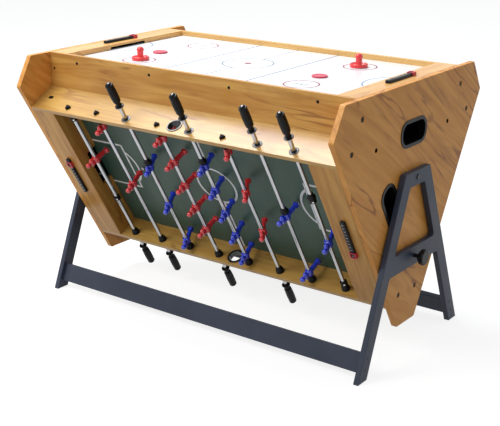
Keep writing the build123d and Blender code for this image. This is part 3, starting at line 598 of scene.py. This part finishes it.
plastic("puck_red", (0.62, 0.050, 0.100), 0.30, **SMOOTH)
metal("chrome", (0.47, 0.48, 0.50), 0.12, brushed=(1.0, 0.15, 0.15))
metal("washer_steel", (0.105, 0.105, 0.115), 0.34)
metal("glint_button_steel", (0.22, 0.22, 0.24), 0.30)
metal("bright_steel", (0.66, 0.65, 0.64), 0.20)
metal("dark_steel", (0.05, 0.05, 0.052), 0.34)
paint_line("white_line", (0.94, 0.97, 0.98))
paint_line("blue_line", (0.17, 0.22, 0.37))
paint_line("pale_blue_line", (0.20, 0.34, 0.52))
paint_line("circle_line", (0.26, 0.022, 0.065))
paint_line("ring_line", (0.20, 0.28, 0.34))
paint_line("spot_paint", (0.28, 0.05, 0.07))
paint_line("digit_paint", (0.80, 0.80, 0.78))


# CAD nodes that keep their shape

for names, material, width in (
        ("left_end_panel right_end_panel", "pine_panel_painted_light", 1.2),
        ("hockey_side_rails pool_side_rails", "pine_rail", 0.9),
        ("foosball_goal_walls foosball_end_rails", "pine_upright", 0.9),
        ("pool_end_rails", "pine_pool_end", 0.9),
        ("hockey_end_rails", "pine_top_painted_light", 0.9),
        ("foosball_side_rails", "pine_ledge", 0.9),
        ("left_leg_frame right_leg_frame front_stretcher rear_stretcher", "slate_paint", 1.5),
        ("hockey_playfield", "white_board", 0.3),
        ("foosball_playfield", "green_board", 0.3),
        ("pool_bed", "pool_cloth", 0.3),
        ("pool_pockets air_blower", "black_plastic", 0.5),
        ("return_trays", "bezel_plastic", 0.7),
        ("ball_entries", "entry_plastic", 0.5),
        ("panel_bolts", "bolt_black", 0.4),
        ("pivot_bolts", "dark_steel", 0.4),
        ("left_lock_knob right_lock_knob", "black_plastic", 0.6)):
    for name in names.split():
        dress(name, material, width)
dress("pool_cushions", "pool_cloth", 1.2, segments=3)
for label in range(1, len(ROD_MEN) + 1):
    dress(f"inner_rod_{label}", "bright_steel")


# Lines printed on the hockey and the foosball field

HOCKEY_LINE = 5.0
BLUE_LINE = 5.6
BLUE_LINE_X = 160.0
DASH_LINE, DASH_LENGTH, DASH_PITCH = 4.8, 16.0, 23.0
CENTRE_RING = 83.0
FACE_OFF_X, FACE_OFF_Y, FACE_OFF_RING = 320.0, 165.0, 53.0
MARK_LINE = 2.6
CREASE_X, CREASE_RADIUS = 558.0, 112.0
FOOSBALL_LINE = 8.0
FOOSBALL_MIDDLE = 3.0
FOOSBALL_RING = 75.0
GOAL_BOX_X = {-1: 365.0, 1: 370.0}
GOAL_BOX_Y = 97.0
GOAL_BOW_X, GOAL_BOW_RADIUS = 426.0, 92.0
GOAL_SPOT_X = 315.0


def add_markings(name, parts, material, matrix):
    """Joins painted shapes into one piece of the cabinet."""
    shape = Shape()
    for part in parts:
        shape.join(part)
    piece(name, shape, material, "cabinet", matrix)


def print_hockey_field():
    z = HOCKEY_LEVEL + DECAL_RISE
    half = RAIL_INNER_Y
    blue_lines = [line_strip(sx * BLUE_LINE_X, -half, sx * BLUE_LINE_X, half, BLUE_LINE, z)
                  for sx in (-1, 1)]
    dashes = []
    for sy in (-1, 1):
        y = CENTRE_RING + 3.0
        while y < half:
            dashes.append(line_strip(0, sy * y, 0, sy * min(y + DASH_LENGTH, half), DASH_LINE, z))
            y += DASH_PITCH
    circles, marks = [], []
    for sx in (-1, 1):
        for sy in (-1, 1):
            cx, cy = sx * FACE_OFF_X, sy * FACE_OFF_Y
            circles.append(circle_strip(cx, cy, FACE_OFF_RING, HOCKEY_LINE, z, 72))
            marks.append(disc(cx, cy, 6, z))
            for tx in (-1, 1):
                near, far = cx + tx * 14, cx + tx * 24
                marks.append(line_strip(near, cy - 9, near, cy + 9, MARK_LINE, z))
                for ty in (-6, 6):
                    marks.append(line_strip(near, cy + ty, far, cy + ty, MARK_LINE, z))
    centre = circle_strip(0, 0, CENTRE_RING, HOCKEY_LINE, z + LAYER_RISE, 96)
    creases = [bow_strip(sx, CREASE_X, CREASE_RADIUS, HOCKEY_END_X, HOCKEY_LINE, z)
               for sx in (-1, 1)]
    for name, parts, paint in (
            ("hockey_blue_lines", blue_lines, "blue_line"),
            ("hockey_centre_line", dashes, "blue_line"),
            ("hockey_centre_ring", [centre], "ring_line"),
            ("hockey_centre_spot", [disc(0, 0, 12, z + LAYER_RISE)], "spot_paint"),
            ("hockey_face_off_circles", circles, "circle_line"),
            ("hockey_face_off_marks", marks, "ring_line"),
            ("hockey_goal_creases", creases, "pale_blue_line")):
        add_markings(name, parts, paint, HOCKEY)


def print_foosball_field():
    z = FOOSBALL_LEVEL + DECAL_RISE
    middle, width = FOOSBALL_MIDDLE, FOOSBALL_LINE
    lines = [circle_strip(middle, 0, FOOSBALL_RING, width, z, 96),
             disc(middle, 0, 9, z + LAYER_RISE)]
    for sy in (-1, 1):
        lines.append(line_strip(middle, sy * (FOOSBALL_RING + 1), middle, sy * RAIL_INNER_Y,
                                width, z))
    for sx, box_x in GOAL_BOX_X.items():
        for y in (-GOAL_BOX_Y, GOAL_BOX_Y):
            lines.append(line_strip(sx * box_x, y, sx * GOAL_WALL_X, y, width, z))
        end = GOAL_BOX_Y + 3
        lines.append(line_strip(sx * box_x, -end, sx * box_x, end, width, z))
        lines.append(bow_strip(sx, GOAL_BOW_X, GOAL_BOW_RADIUS, box_x, width, z))
        lines.append(disc(sx * GOAL_SPOT_X, 0, 6, z))
    add_markings("foosball_lines", lines, "white_line", FOOSBALL)


# Black sheets inside the goals, as painted shade


def goal_lining(sx, near, far, half_width, wall, ceiling, side_foot, back_foot):
    """Thin black walls over, behind and beside the opening of a goal, as painted shade inside it.
    """
    mouth_shade = Shape()
    across = (-half_width, half_width)
    low, high = ceiling
    mouth_shade.join(block(span(sx, near, far), across, (low, high)))
    mouth_shade.join(block(span(sx, far - wall, far), across, (back_foot, low)))
    for sy in (-1, 1):
        side = span(sy, half_width - wall, half_width)
        mouth_shade.join(block(span(sx, near, far), side, (side_foot, low)))
    return mouth_shade


def line_hockey_goals():
    roof = HOCKEY_LEVEL + 9.0
    foot = HOCKEY_LEVEL - 11.5
    half_width, wall = 84.8, 0.6
    shade_sheets = Shape()
    for sx in (-1, 1):
        shade_sheets.join(goal_lining(sx, HOCKEY_END_X + 0.5, PANEL_INNER_X - 4.2, half_width, wall,
                                 (roof - 0.6, roof - 0.1), HOCKEY_LEVEL + 0.2, foot))
        lip = span(sx, HOCKEY_END_X + 12.1, HOCKEY_END_X + 12.6)
        across = (wall - half_width, half_width - wall)
        shade_sheets.join(block(lip, across, (foot, HOCKEY_LEVEL - 0.1)))
    # Painted shade: black sheets inside the hockey goal slots
    piece("hockey_slot_painted_shade", shade_sheets, "hole_black", "cabinet", HOCKEY)


def line_foosball_goals():
    roof = FACE_REACH - 14.0
    foot = FOOSBALL_LEVEL + 0.3
    shade_sheets = Shape()
    for sx in (-1, 1):
        shade_sheets.join(goal_lining(sx, GOAL_WALL_X + 12.2, PANEL_INNER_X - 0.3, 110.0, 0.8,
                                 (roof - 1.0, roof - 0.2), foot, foot))
    # Painted shade: black sheets inside the foosball goal mouths
    piece("foosball_goal_painted_shade", shade_sheets, "hole_black", "cabinet", FOOSBALL)


print_hockey_field()
line_hockey_goals()
print_foosball_field()
line_foosball_goals()


# Foosball rods


def rod_spot(number):
    """The place of a rod on its face, with the rods counted from 0."""
    return shifted((number - (len(ROD_MEN) - 1) / 2) * ROD_PITCH, 0, ROD_LEVEL)


def to_handle(number):
    """Turns Y towards the rail where the rod has its handle."""
    return turned(0 if ROD_SIDES[number] > 0 else 180, "Z")


def men_offsets(count):
    """The places of a rod's men along it, about the middle of the row."""
    return [(i - (count - 1) / 2) * MEN_PITCHES[count] for i in range(count)]


def row_half(count):
    """Half the length of a row, over the men or over the stop rings."""
    if count == 1:
        return STOP_RING_REACH + STOP_RING_LENGTH / 2
    return men_offsets(count)[-1] + MAN_WIDTH / 2


def row_shift(count):
    """How far the middle of a row lies from the middle of the field at rest."""
    return BEARING_FACE_Y - BUMPER_LENGTH - BUMPER_GAP - row_half(count)


def superellipse(cx, hx, hy, z, power, count=20):
    """A closed line between an ellipse and a box, at one height."""
    points = []
    for k in range(count):
        a = 2 * math.pi * (k + 0.5) / count
        c, s = math.cos(a), math.sin(a)
        x = math.copysign(abs(c) ** (2 / power), c) * hx
        y = math.copysign(abs(s) ** (2 / power), s) * hy
        points.append((cx + x, y, z))
    return points


def ball(radius):
    profile = [(0.0, -radius)]
    for i in range(1, 8):
        a = math.pi * i / 8
        profile.append((radius * math.sin(a), -radius * math.cos(a)))
    return lathe(profile + [(0.0, radius)], 16)


def man():
    """A moulded player that faces +X, with the rod along Y."""
    shape = Shape()
    # From the foot to the neck: centre, half depth, half width, height, squareness
    body = [
        (1.2, 7.0, 7.0, -54.0, 4.0), (1.25, 8.8, 8.5, -52.8, 5.0), (1.25, 9.2, 9.0, -49.5, 5.0),
        (1.1, 8.7, 8.8, -46.0, 4.6), (0.5, 6.9, 8.1, -43.0, 3.4), (0.1, 6.0, 7.5, -40.0, 2.9),
        (0.0, 6.1, 7.7, -33.0, 2.8), (0.0, 6.7, 8.2, -25.0, 2.8), (0.0, 7.2, 8.7, -16.0, 2.8),
        (0.0, 7.5, 9.1, -8.0, 3.0), (0.0, 7.8, 9.6, 0.0, 3.0), (0.0, 7.6, 10.2, 7.0, 2.9),
        (0.0, 7.4, 11.6, 11.5, 2.7), (0.0, 7.5, 13.8, 16.0, 2.6), (0.0, 7.4, 15.3, 19.5, 2.5),
        (0.0, 6.8, 15.2, 22.2, 2.4), (0.0, 5.6, 12.4, 24.6, 2.2), (0.0, 4.7, 7.6, 26.2, 2.0),
        (0.0, 4.4, 5.0, 27.6, 2.0), (0.0, 4.2, 4.4, 29.0, 2.0),
    ]
    shape.join(loft([superellipse(*level) for level in body]))
    head = []
    for i in range(9):
        a = math.pi * (0.06 + 0.90 * i / 8)
        head.append((9.0 * math.sin(a), 35.5 - 9.0 * math.cos(a)))
    shape.join(lathe([(0.0, 26.55)] + head + [(0.0, 44.5)], 24, axis="Z"))
    # The barrel round the rod, then shoulders and the plugs on the chest
    shape.join(lathe([(0.0, -11.5), (10.2, -11.5), (11.5, -10.8), (12.0, -9.4), (12.0, 9.4),
                      (11.5, 10.8), (10.2, 11.5), (0.0, 11.5)], 28))
    for side in (-1, 1):
        shape.join(ball(4.2), shifted(0.8, side * 11.2, 19.6))
        shape.join(lathe([(0.0, 0.0), (2.3, 0.0), (2.5, 0.5), (1.9, 1.3), (0.0, 1.4)], 16,
                         axis="X"), shifted(11.2, side * 5.6, 0))
    return shape


def fluted(profile, count, depth, segments=72):
    """A turned shape with grooves along it, as deep as each point's third number says."""
    rings = []
    for radius, place, cut in profile:
        level = []
        for k in range(segments):
            a = 2 * math.pi * k / segments
            r = radius - depth * cut * max(0.0, math.cos(count * a)) ** 2
            level.append((r * math.sin(a), place, r * math.cos(a)))
        rings.append(level)
    return loft(rings)


def grip():
    """The handle: flange, neck and a fluted grip with hard shoulders."""
    shape = ring([(6.4, 352.0), (13.2, 352.0), (14.0, 352.8), (14.0, 355.2), (13.2, 356.0),
                  (9.4, 356.4), (8.5, 357.4), (8.5, 370.4), (8.9, 371.0), (8.9, 374.0),
                  (6.4, 374.0)])
    body = [(8.6, 370.9, 0), (11.2, 371.6, 0), (12.1, 373.4, 0), (12.4, 376.5, 0)]
    for i in range(19):
        t = i / 18
        swell = 12.5 + 0.7 * math.sin(math.pi * t)
        body.append((swell, 379.0 + 51.0 * t, min(1.0, 5 * t, 5 * (1 - t))))
    body += [(12.5, 433.0, 0), (12.6, 435.5, 0), (12.0, 437.6, 0), (10.9, 438.8, 0),
             (8.8, 439.2, 0)]
    shape.join(fluted(body, 9, 1.1))
    return shape


def sleeve(start):
    """A rubber bumper with a wide foot and a narrower neck."""
    profile = [(6.45, 0.0), (12.3, 0.0), (13.0, 0.8), (13.0, 4.0), (12.4, 4.6), (12.4, 5.4),
               (13.0, 6.0), (13.0, 8.0), (12.5, 8.9), (9.6, 11.2), (9.1, 12.0), (9.1, 13.4),
               (8.6, 13.9), (8.6, 14.6), (9.0, 15.1), (9.0, 18.2), (8.2, 19.0), (6.45, 19.0)]
    return ring(profile, 32, start)


def collar(centre):
    """A goalkeeper's stop ring with a raised edge at both ends."""
    half = [(6.45, -7.0), (10.9, -7.0), (11.5, -6.2), (11.5, -4.2), (10.9, -3.6)]
    profile = half + [(radius, -place) for radius, place in reversed(half)]
    return ring(profile, 32, centre)


def trefoil(hub, lobe, reach):
    """The outline of a round hub with three round lobes."""
    outline = []
    for k in range(108):
        a = 2 * math.pi * k / 108
        radius = hub
        for turn in (80, 200, 320):
            delta = a - math.radians(turn)
            if abs(reach * math.sin(delta)) < lobe and math.cos(delta) > 0:
                far = lobe ** 2 - (reach * math.sin(delta)) ** 2
                radius = max(radius, reach * math.cos(delta) + math.sqrt(far))
        outline.append((radius * math.cos(a), radius * math.sin(a)))
    return outline


def far_cap():
    """The three-lobed cap over the outer end of a far bearing."""
    outline = trefoil(6.2, 3.7, 6.0)
    levels = ((1.0, 0.0), (1.0, 6.2), (0.94, 6.9), (0.80, 7.2))
    return loft([[(x * size, y * size, z) for x, y in outline] for size, z in levels])


# The chromed tube, from the far bearing into the handle
TUBE = ring([(4.35, -283.7), (6.0, -283.7), (6.35, -283.3), (6.35, 352.5), (4.35, 352.5)])
# The pale ring on the face of an upper handle's flange, a painted highlight where light catches it
RIM_HIGHLIGHT = ring([(10.0, 351.6), (13.8, 351.6), (14.5, 352.1), (14.5, 353.9), (13.8, 354.2),
            (10.0, 352.6)])
# The cap at the grip's end
CAP_DOME = lathe([(0.0, 438.6), (8.8, 438.6), (9.0, 439.6), (8.6, 441.0), (7.2, 442.8),
                  (5.2, 444.1), (2.8, 444.8), (0.0, 445.0)], 32)
# A bright plug in the middle of the cap, on the upper handles only, as a painted glint on the
# cap's black end
CAP_GLINT_BUTTON = lathe([(0.0, 443.0), (3.9, 443.0), (3.9, 444.5), (3.3, 444.9), (0.0, 445.0)], 28)
# The bright screw in a stop ring, seen from the field's side
SET_SCREW = lathe([(0.0, 11.2), (1.2, 11.2), (1.4, 11.7), (2.9, 11.9), (3.1, 11.5), (3.1, 10.4),
                   (0.0, 10.4)], 20, axis="Z")
# The flanged sleeve that the tube slides through, on the handle's side
NEAR_FLANGE = ring([(6.45, 284.0), (12.6, 284.0), (13.6, 284.5), (14.0, 285.4), (14.0, 287.0),
                    (9.0, 287.0), (9.0, 301.0), (6.45, 301.0)])
# The flanged cup that the inner rod turns in
FAR_FLANGE = ring([(4.3, -284.0), (12.6, -284.0), (13.6, -284.5), (14.0, -285.4),
                   (14.0, -287.0), (7.3, -287.0), (7.3, -301.0), (5.6, -301.0),
                   (5.6, -297.0), (4.3, -297.0)])
WASHER = ring([(9.2, 301.0), (15.0, 301.0), (15.0, 302.1), (14.4, 302.5), (9.2, 302.5)])
NUT = ring([(6.45, 301.1), (9.5, 301.1), (9.5, 304.6), (8.8, 305.5), (6.45, 305.5)])
GRIP = grip()
FAR_CAP = far_cap()
FIGURE = man()


def build_rod(number):
    """The tube, handle, bumper, stop rings and men of one rod."""
    label = number + 1
    body = f"rod_{label}"
    side = ROD_SIDES[number]
    count = ROD_MEN[number]
    row_centre = -side * row_shift(count)
    row = FOOSBALL @ rod_spot(number)
    place = row @ to_handle(number)
    piece(f"rod_tube_{label}", TUBE, "chrome", body, place,
          stands_for=(f"rod_{label}",))
    piece(f"rod_grip_{label}", GRIP, "grip_plastic", body, place)
    piece(f"rod_cap_{label}", CAP_DOME, "grip_plastic", body, place)
    if side > 0:
        # Painted glint on the cap's end, on the upper handles only
        piece(f"rod_glint_button_{label}", CAP_GLINT_BUTTON, "glint_button_steel", body, place)
        # Painted highlight on the upper handles' flanges
        piece(f"rod_highlight_rim_{label}", RIM_HIGHLIGHT, "highlight_grey_plastic", body, place)
    piece(f"rod_bumper_{label}", sleeve(row_centre + row_half(count)), "black_rubber", body,
          row)
    if count == 1:
        rings, screws = Shape(), Shape()
        for s in (-1, 1):
            centre = row_centre + s * STOP_RING_REACH
            rings.join(collar(centre))
            screws.join(SET_SCREW, shifted(0, centre, 0) @ turned(38, "Y"))
        piece(f"stop_rings_{label}", rings, "black_rubber", body, row)
        piece(f"stop_screws_{label}", screws, "bright_steel", body, row)
    team = Shape()
    facing = 0 if side < 0 else 180
    tilt = turned(-ROD_TILTS[number], "Y") @ turned(facing, "Z")
    for offset in men_offsets(count):
        team.join(FIGURE, shifted(0, row_centre + offset, 0) @ tilt)
    paint = "red_plastic" if side < 0 else "blue_plastic"
    piece(f"players_{label}", team, paint, body, row, smooth=50,
          stands_for=(f"men_{label}",))


flanges, washers, nuts, caps, bumpers = (Shape() for _ in range(5))
for number in range(len(ROD_MEN)):
    build_rod(number)
    spot = rod_spot(number)
    local = spot @ to_handle(number)
    bumpers.join(sleeve(-BEARING_FACE_Y), spot)
    flanges.join(NEAR_FLANGE, local)
    washers.join(WASHER, local)
    nuts.join(NUT, local)
    flanges.join(FAR_FLANGE, local)
    caps.join(FAR_CAP, local @ shifted(0, -BOX_Y, 0) @ turned(90, "X"))
piece("bearing_sleeves", flanges, "black_plastic", "cabinet", FOOSBALL,
      stands_for=("rod_bearings",))
piece("bearing_washers", washers, "washer_steel", "cabinet", FOOSBALL)
piece("bearing_nuts", nuts, "black_plastic", "cabinet", FOOSBALL)
piece("bearing_caps", caps, "matt_black", "cabinet", FOOSBALL)
piece("lower_rail_bumpers", bumpers, "black_rubber", "cabinet", FOOSBALL,
      stands_for=("rail_bumpers",))


# Score bars with their numbers and sliding pointers

HOCKEY_SCORE_X = 557.5
FOOSBALL_SCORE_X = 549.0
TOP_SCORE = 10
SCORE_PITCH = 13.0
DIGIT_SIZE = 9.0


def score_bar(x):
    """A bar across the field with its upper edges rounded."""
    outline = rounded_outline(16.0, 155.0, 4.0)
    levels = ((1.0, 1.0, 0.0), (1.0, 1.0, 7.6), (0.93, 0.994, 8.6), (0.80, 0.985, 9.0))
    return loft([[(x + px * wide, py * long, FACE_REACH + rise) for px, py in outline]
                 for wide, long, rise in levels])


def digits_mesh(text):
    """A number as flat mesh points and faces, centred on the origin."""
    curve = bpy.data.curves.new("digits", "FONT")
    curve.body = text
    curve.size = DIGIT_SIZE * MM
    curve.align_x = "CENTER"
    curve.align_y = "CENTER"
    holder = bpy.data.objects.new("digits", curve)
    mesh = bpy.data.meshes.new_from_object(holder)
    shape = Shape().add([v.co / MM for v in mesh.vertices],
                        [list(p.vertices) for p in mesh.polygons])
    bpy.data.objects.remove(holder)
    bpy.data.curves.remove(curve)
    bpy.data.meshes.remove(mesh)
    return shape


def saddle(x, y):
    """A sliding pointer: two cheeks under a roof with a window."""
    shape = Shape()
    for side in (-1, 1):
        xs = sorted((x + side * 8.3, x + side * 10.5))
        shape.join(block(xs, (y - 10.6, y + 10.6), (FACE_REACH + 0.3, FACE_REACH + 9.6)))
    outer = rounded_outline(21.0, 22.0, 2.6)
    inner = rounded_outline(14.0, 16.0, 2.2)
    levels = [(outer, 0.0, 9.3), (outer, 0.0, 10.7), (outer, -0.6, 11.3),
              (inner, 0.5, 11.3), (inner, 0.0, 10.8), (inner, 0.0, 9.3)]
    points = []
    for outline, growth, rise in levels:
        for px, py in outline:
            points.append((x + px + math.copysign(growth, px), y + py + math.copysign(growth, py),
                           FACE_REACH + rise))
    return shape.add(points, bands(len(levels), len(outer), closed=True))


bars, digits = Shape(), Shape()
for face, score_x in ((HOCKEY, HOCKEY_SCORE_X), (FOOSBALL, FOOSBALL_SCORE_X)):
    for sx in (-1, 1):
        bars.join(score_bar(sx * score_x), face)
        for k in range(TOP_SCORE + 1):
            text = str(k if sx > 0 else TOP_SCORE - k)
            spot = shifted(sx * score_x, SCORE_PITCH * (k - TOP_SCORE / 2), FACE_REACH + 9.12)
            digits.join(digits_mesh(text), face @ spot @ turned(90 * sx, "Z"))
piece("score_bar_bodies", bars, "black_plastic", "cabinet",
      stands_for=("score_bars",))
piece("score_bar_numbers", digits, "digit_paint", "cabinet")
for name, face, x, y in (("hockey_left_pointer", HOCKEY, -HOCKEY_SCORE_X, 66.5),
                         ("hockey_right_pointer", HOCKEY, HOCKEY_SCORE_X, 66.5),
                         ("foosball_left_pointer", FOOSBALL, -FOOSBALL_SCORE_X, 55.0),
                         ("foosball_right_pointer", FOOSBALL, FOOSBALL_SCORE_X, -62.0)):
    piece(name.replace("pointer", "saddle"), saddle(x, y), "pointer_red", name,
          face, stands_for=(name,))


# Mallets and pucks

LOOSE_LEVEL = HOCKEY_LEVEL + 0.3


def mallet():
    """A mallet: a dished foot with a raised edge under a round knob."""
    profile = [(0.0, 0.0), (26.6, 0.0), (28.4, 0.6), (29.0, 2.2), (29.0, 8.6), (28.6, 10.2),
               (27.4, 11.0), (26.0, 10.8), (25.2, 9.6), (24.2, 7.6), (22.0, 6.9), (13.6, 6.9),
               (11.6, 7.8), (10.7, 10.0), (10.4, 14.0), (10.4, 27.0), (10.8, 29.4),
               (11.6, 30.6), (12.0, 32.4), (11.6, 35.4), (10.2, 38.6), (7.8, 41.2),
               (4.4, 42.7), (0.0, 43.0)]
    return lathe(profile, 64, axis="Z")


def puck():
    """A puck with a raised edge and a thin ring on its top."""
    profile = [(0.0, 0.4), (19.0, 0.4), (19.6, 0.0), (23.6, 0.0), (24.7, 0.5), (25.0, 1.4),
               (25.0, 3.6), (24.7, 4.5), (23.6, 5.0), (19.6, 5.0), (19.0, 4.5), (17.6, 4.5),
               (17.0, 4.8), (15.6, 4.8), (15.0, 4.5), (0.0, 4.5)]
    return lathe(profile, 64, axis="Z")


for name, x, y in (("left_mallet", -318.0, -160.0), ("right_mallet", 318.0, 160.0)):
    piece(name + "_striker", mallet(), "mallet_red", name,
          HOCKEY @ shifted(x, y, LOOSE_LEVEL), smooth=50, stands_for=(name,))
for name, x, y in (("left_puck", -351.0, -26.0), ("right_puck", 304.0, -43.0)):
    piece(name + "_disc", puck(), "puck_red", name,
          HOCKEY @ shifted(x, y, LOOSE_LEVEL), smooth=40, stands_for=(name,))


# Screws, the plug beside the first rod, and black cups in the lock holes as painted shade

# Screws of the hockey side rails: place along the rail, level and head radius
RAIL_SCREWS = [(x, 260.0, 5.0) for x in (-467.6, -156.0, 156.0, 467.6)]
RAIL_SCREWS += [(x, 232.6, 4.2) for x in (-574.0, 574.0)]
FRAME_FOOT, FRAME_TOP, FRAME_HEIGHT, LEG_WIDTH = 624.0, 149.0, 584.0, 49.0
PLUG_X, PLUG_LEVEL = -547.0, 228.0
LOCK_HOLE_REACH = 249.0
LOCK_HOLE_BOTTOM = 596.8


def screw_head(radius, height):
    """A low domed head with a dimple in its middle."""
    return lathe([(0.0, height * 0.55), (radius * 0.22, height * 0.6), (radius * 0.3, height),
                  (radius * 0.6, height * 0.92), (radius * 0.88, height * 0.55), (radius, 0.0),
                  (radius, -0.4), (0.0, -0.4)], 20, axis="Z")


rail_screws, frame_screws = Shape(), Shape()
for sy in (-1, 1):
    for x, level, radius in RAIL_SCREWS:
        spot = HOCKEY @ shifted(x, sy * BOX_Y, level) @ turned(-90 * sy, "X")
        rail_screws.join(screw_head(radius, 0.9), spot)
piece("rail_screws", rail_screws, "bolt_black", "cabinet", smooth=60)
lean = (FRAME_FOOT - FRAME_TOP) / 2 / FRAME_HEIGHT
for sx in (-1, 1):
    for sy in (-1, 1):
        for z in (36.0, 68.0):
            y = sy * (FRAME_FOOT / 2 - LEG_WIDTH / 2 - lean * z)
            spot = shifted(sx * FRAME_OUTER_X, y, z) @ turned(90 * sx, "Y")
            frame_screws.join(screw_head(4.2, 1.2), spot)
piece("frame_screws", frame_screws, "dark_steel", "stand", smooth=60)

plug_outline = [(px + PLUG_X, py - PLUG_LEVEL) for px, py in rounded_outline(20.0, 13.0, 6.3)]
piece("ledge_plug", prism(plug_outline, 0.0, 0.25), "hole_black", "cabinet",
      FOOSBALL @ shifted(0, BOX_Y, 0) @ turned(-90, "X"))

# Black cups inside the lock holes: painted shade
shade_sheets = Shape()
for sx in (-1, 1):
    mouth = PANEL_OUTER_X - 0.2
    cup = lathe([(radius, sx * x) for radius, x in (
        (0.0, LOCK_HOLE_BOTTOM), (6.5, LOCK_HOLE_BOTTOM), (6.5, mouth), (6.15, mouth),
        (6.15, LOCK_HOLE_BOTTOM + 0.4), (0.0, LOCK_HOLE_BOTTOM + 0.4))], 28, axis="X")
    for face in (HOCKEY, FOOSBALL, POOL):
        shade_sheets.join(cup, face @ shifted(0, 0, -LOCK_HOLE_REACH))
piece("lock_hole_painted_shade", shade_sheets, "hole_black", "cabinet")


# Floor, light and camera, in metres

FLOOR_HALF = 60.0
FLOOR_LEVEL = -0.0005
PHOTO_WIDTH = 500
FOCAL_PIXELS = 1088.32
SHIFT_PIXELS = -19.28
SENSOR_WIDTH = 36.0
LIGHT_AIM = Vector((0, 0, 0.6))
CAMERA_PLACE = (2.08667, -2.76888, 1.49312)
YAW, PITCH, ROLL = (math.radians(angle) for angle in (35.855, -18.659, 0.133))


def plain_shader(tree, kind, colour, strength=None):
    """A shader node of one colour."""
    node = tree.nodes.new(kind)
    node.inputs["Color"].default_value = rgba(colour)
    if strength is not None:
        node.inputs["Strength"].default_value = strength
    return node


def looked_at(tree):
    """One for a ray that looks straight, in a mirror or through glass, and else zero."""
    path = tree.nodes.new("ShaderNodeLightPath")
    value = path.outputs["Is Camera Ray"]
    for ray in ("Is Glossy Ray", "Is Transmission Ray"):
        larger = tree.nodes.new("ShaderNodeMath")
        larger.operation = "MAXIMUM"
        tree.links.new(value, larger.inputs[0])
        tree.links.new(path.outputs[ray], larger.inputs[1])
        value = larger.outputs[0]
    return value


def show(tree, kind, lighting, seen):
    """Outputs one shader to the rays that light the table and another to those that look."""
    output = tree.nodes.new(kind)
    chosen = tree.nodes.new("ShaderNodeMixShader")
    tree.links.new(looked_at(tree), chosen.inputs[0])
    tree.links.new(lighting.outputs[0], chosen.inputs[1])
    tree.links.new(seen.outputs[0], chosen.inputs[2])
    tree.links.new(chosen.outputs[0], output.inputs["Surface"])


def soft_light(name, place, size, power, colour=(1, 1, 1)):
    """A square soft box that points at the table."""
    light = bpy.data.lights.new(name, "AREA")
    light.shape = "SQUARE"
    light.size = size
    light.energy = power
    light.color = colour
    obj = add_object(name, light)
    obj.location = place
    obj.rotation_mode = "QUATERNION"
    obj.rotation_quaternion = (LIGHT_AIM - Vector(place)).to_track_quat("-Z", "Y")


square = bpy.data.meshes.new("floor")
square.from_pydata([(FLOOR_HALF * x, FLOOR_HALF * y, FLOOR_LEVEL)
                    for x, y in ((-1, -1), (1, -1), (1, 1), (-1, 1))], [], [[0, 1, 2, 3]])
floor = add_object("floor", square)
ground = bpy.data.materials.new("floor")
tree = empty_tree(ground)
paper = plain_shader(tree, "ShaderNodeBsdfDiffuse", (0.42, 0.42, 0.42))
seen_paper = plain_shader(tree, "ShaderNodeBsdfDiffuse", (0.30, 0.30, 0.30))
glow = plain_shader(tree, "ShaderNodeEmission", (1, 1, 1), 0.82)
lit_paper = tree.nodes.new("ShaderNodeAddShader")
tree.links.new(seen_paper.outputs[0], lit_paper.inputs[0])
tree.links.new(glow.outputs[0], lit_paper.inputs[1])
show(tree, "ShaderNodeOutputMaterial", paper, lit_paper)
square.materials.append(ground)

world = bpy.data.worlds.new("studio")
bpy.context.scene.world = world
tree = empty_tree(world)
room = plain_shader(tree, "ShaderNodeBackground", (0.93, 0.96, 1.0), 0.46)
backdrop = plain_shader(tree, "ShaderNodeBackground", (1, 1, 1), 1.0)
show(tree, "ShaderNodeOutputWorld", room, backdrop)

soft_light("key", (-1.6, -3.0, 3.6), 2.2, 95, (1.0, 0.985, 0.96))
soft_light("top", (-2.0, 0.45, 4.4), 1.9, 164)

camera_data = bpy.data.cameras.new("camera")
camera = add_object("camera", camera_data)
forward = Vector((-math.sin(YAW) * math.cos(PITCH), math.cos(YAW) * math.cos(PITCH),
                  math.sin(PITCH)))
facing = forward.to_track_quat("-Z", "Y").to_matrix().to_4x4()
camera.rotation_mode = "QUATERNION"
camera.rotation_quaternion = (facing @ Matrix.Rotation(ROLL, 4, "Z")).to_quaternion()
camera.location = CAMERA_PLACE
camera_data.sensor_width = SENSOR_WIDTH
camera_data.lens = FOCAL_PIXELS / PHOTO_WIDTH * SENSOR_WIDTH
camera_data.shift_x = SHIFT_PIXELS / PHOTO_WIDTH
camera_data.clip_start = 0.05
camera_data.clip_end = 200.0
bpy.context.scene.camera = camera
bpy.context.scene.view_settings.view_transform = "Standard"
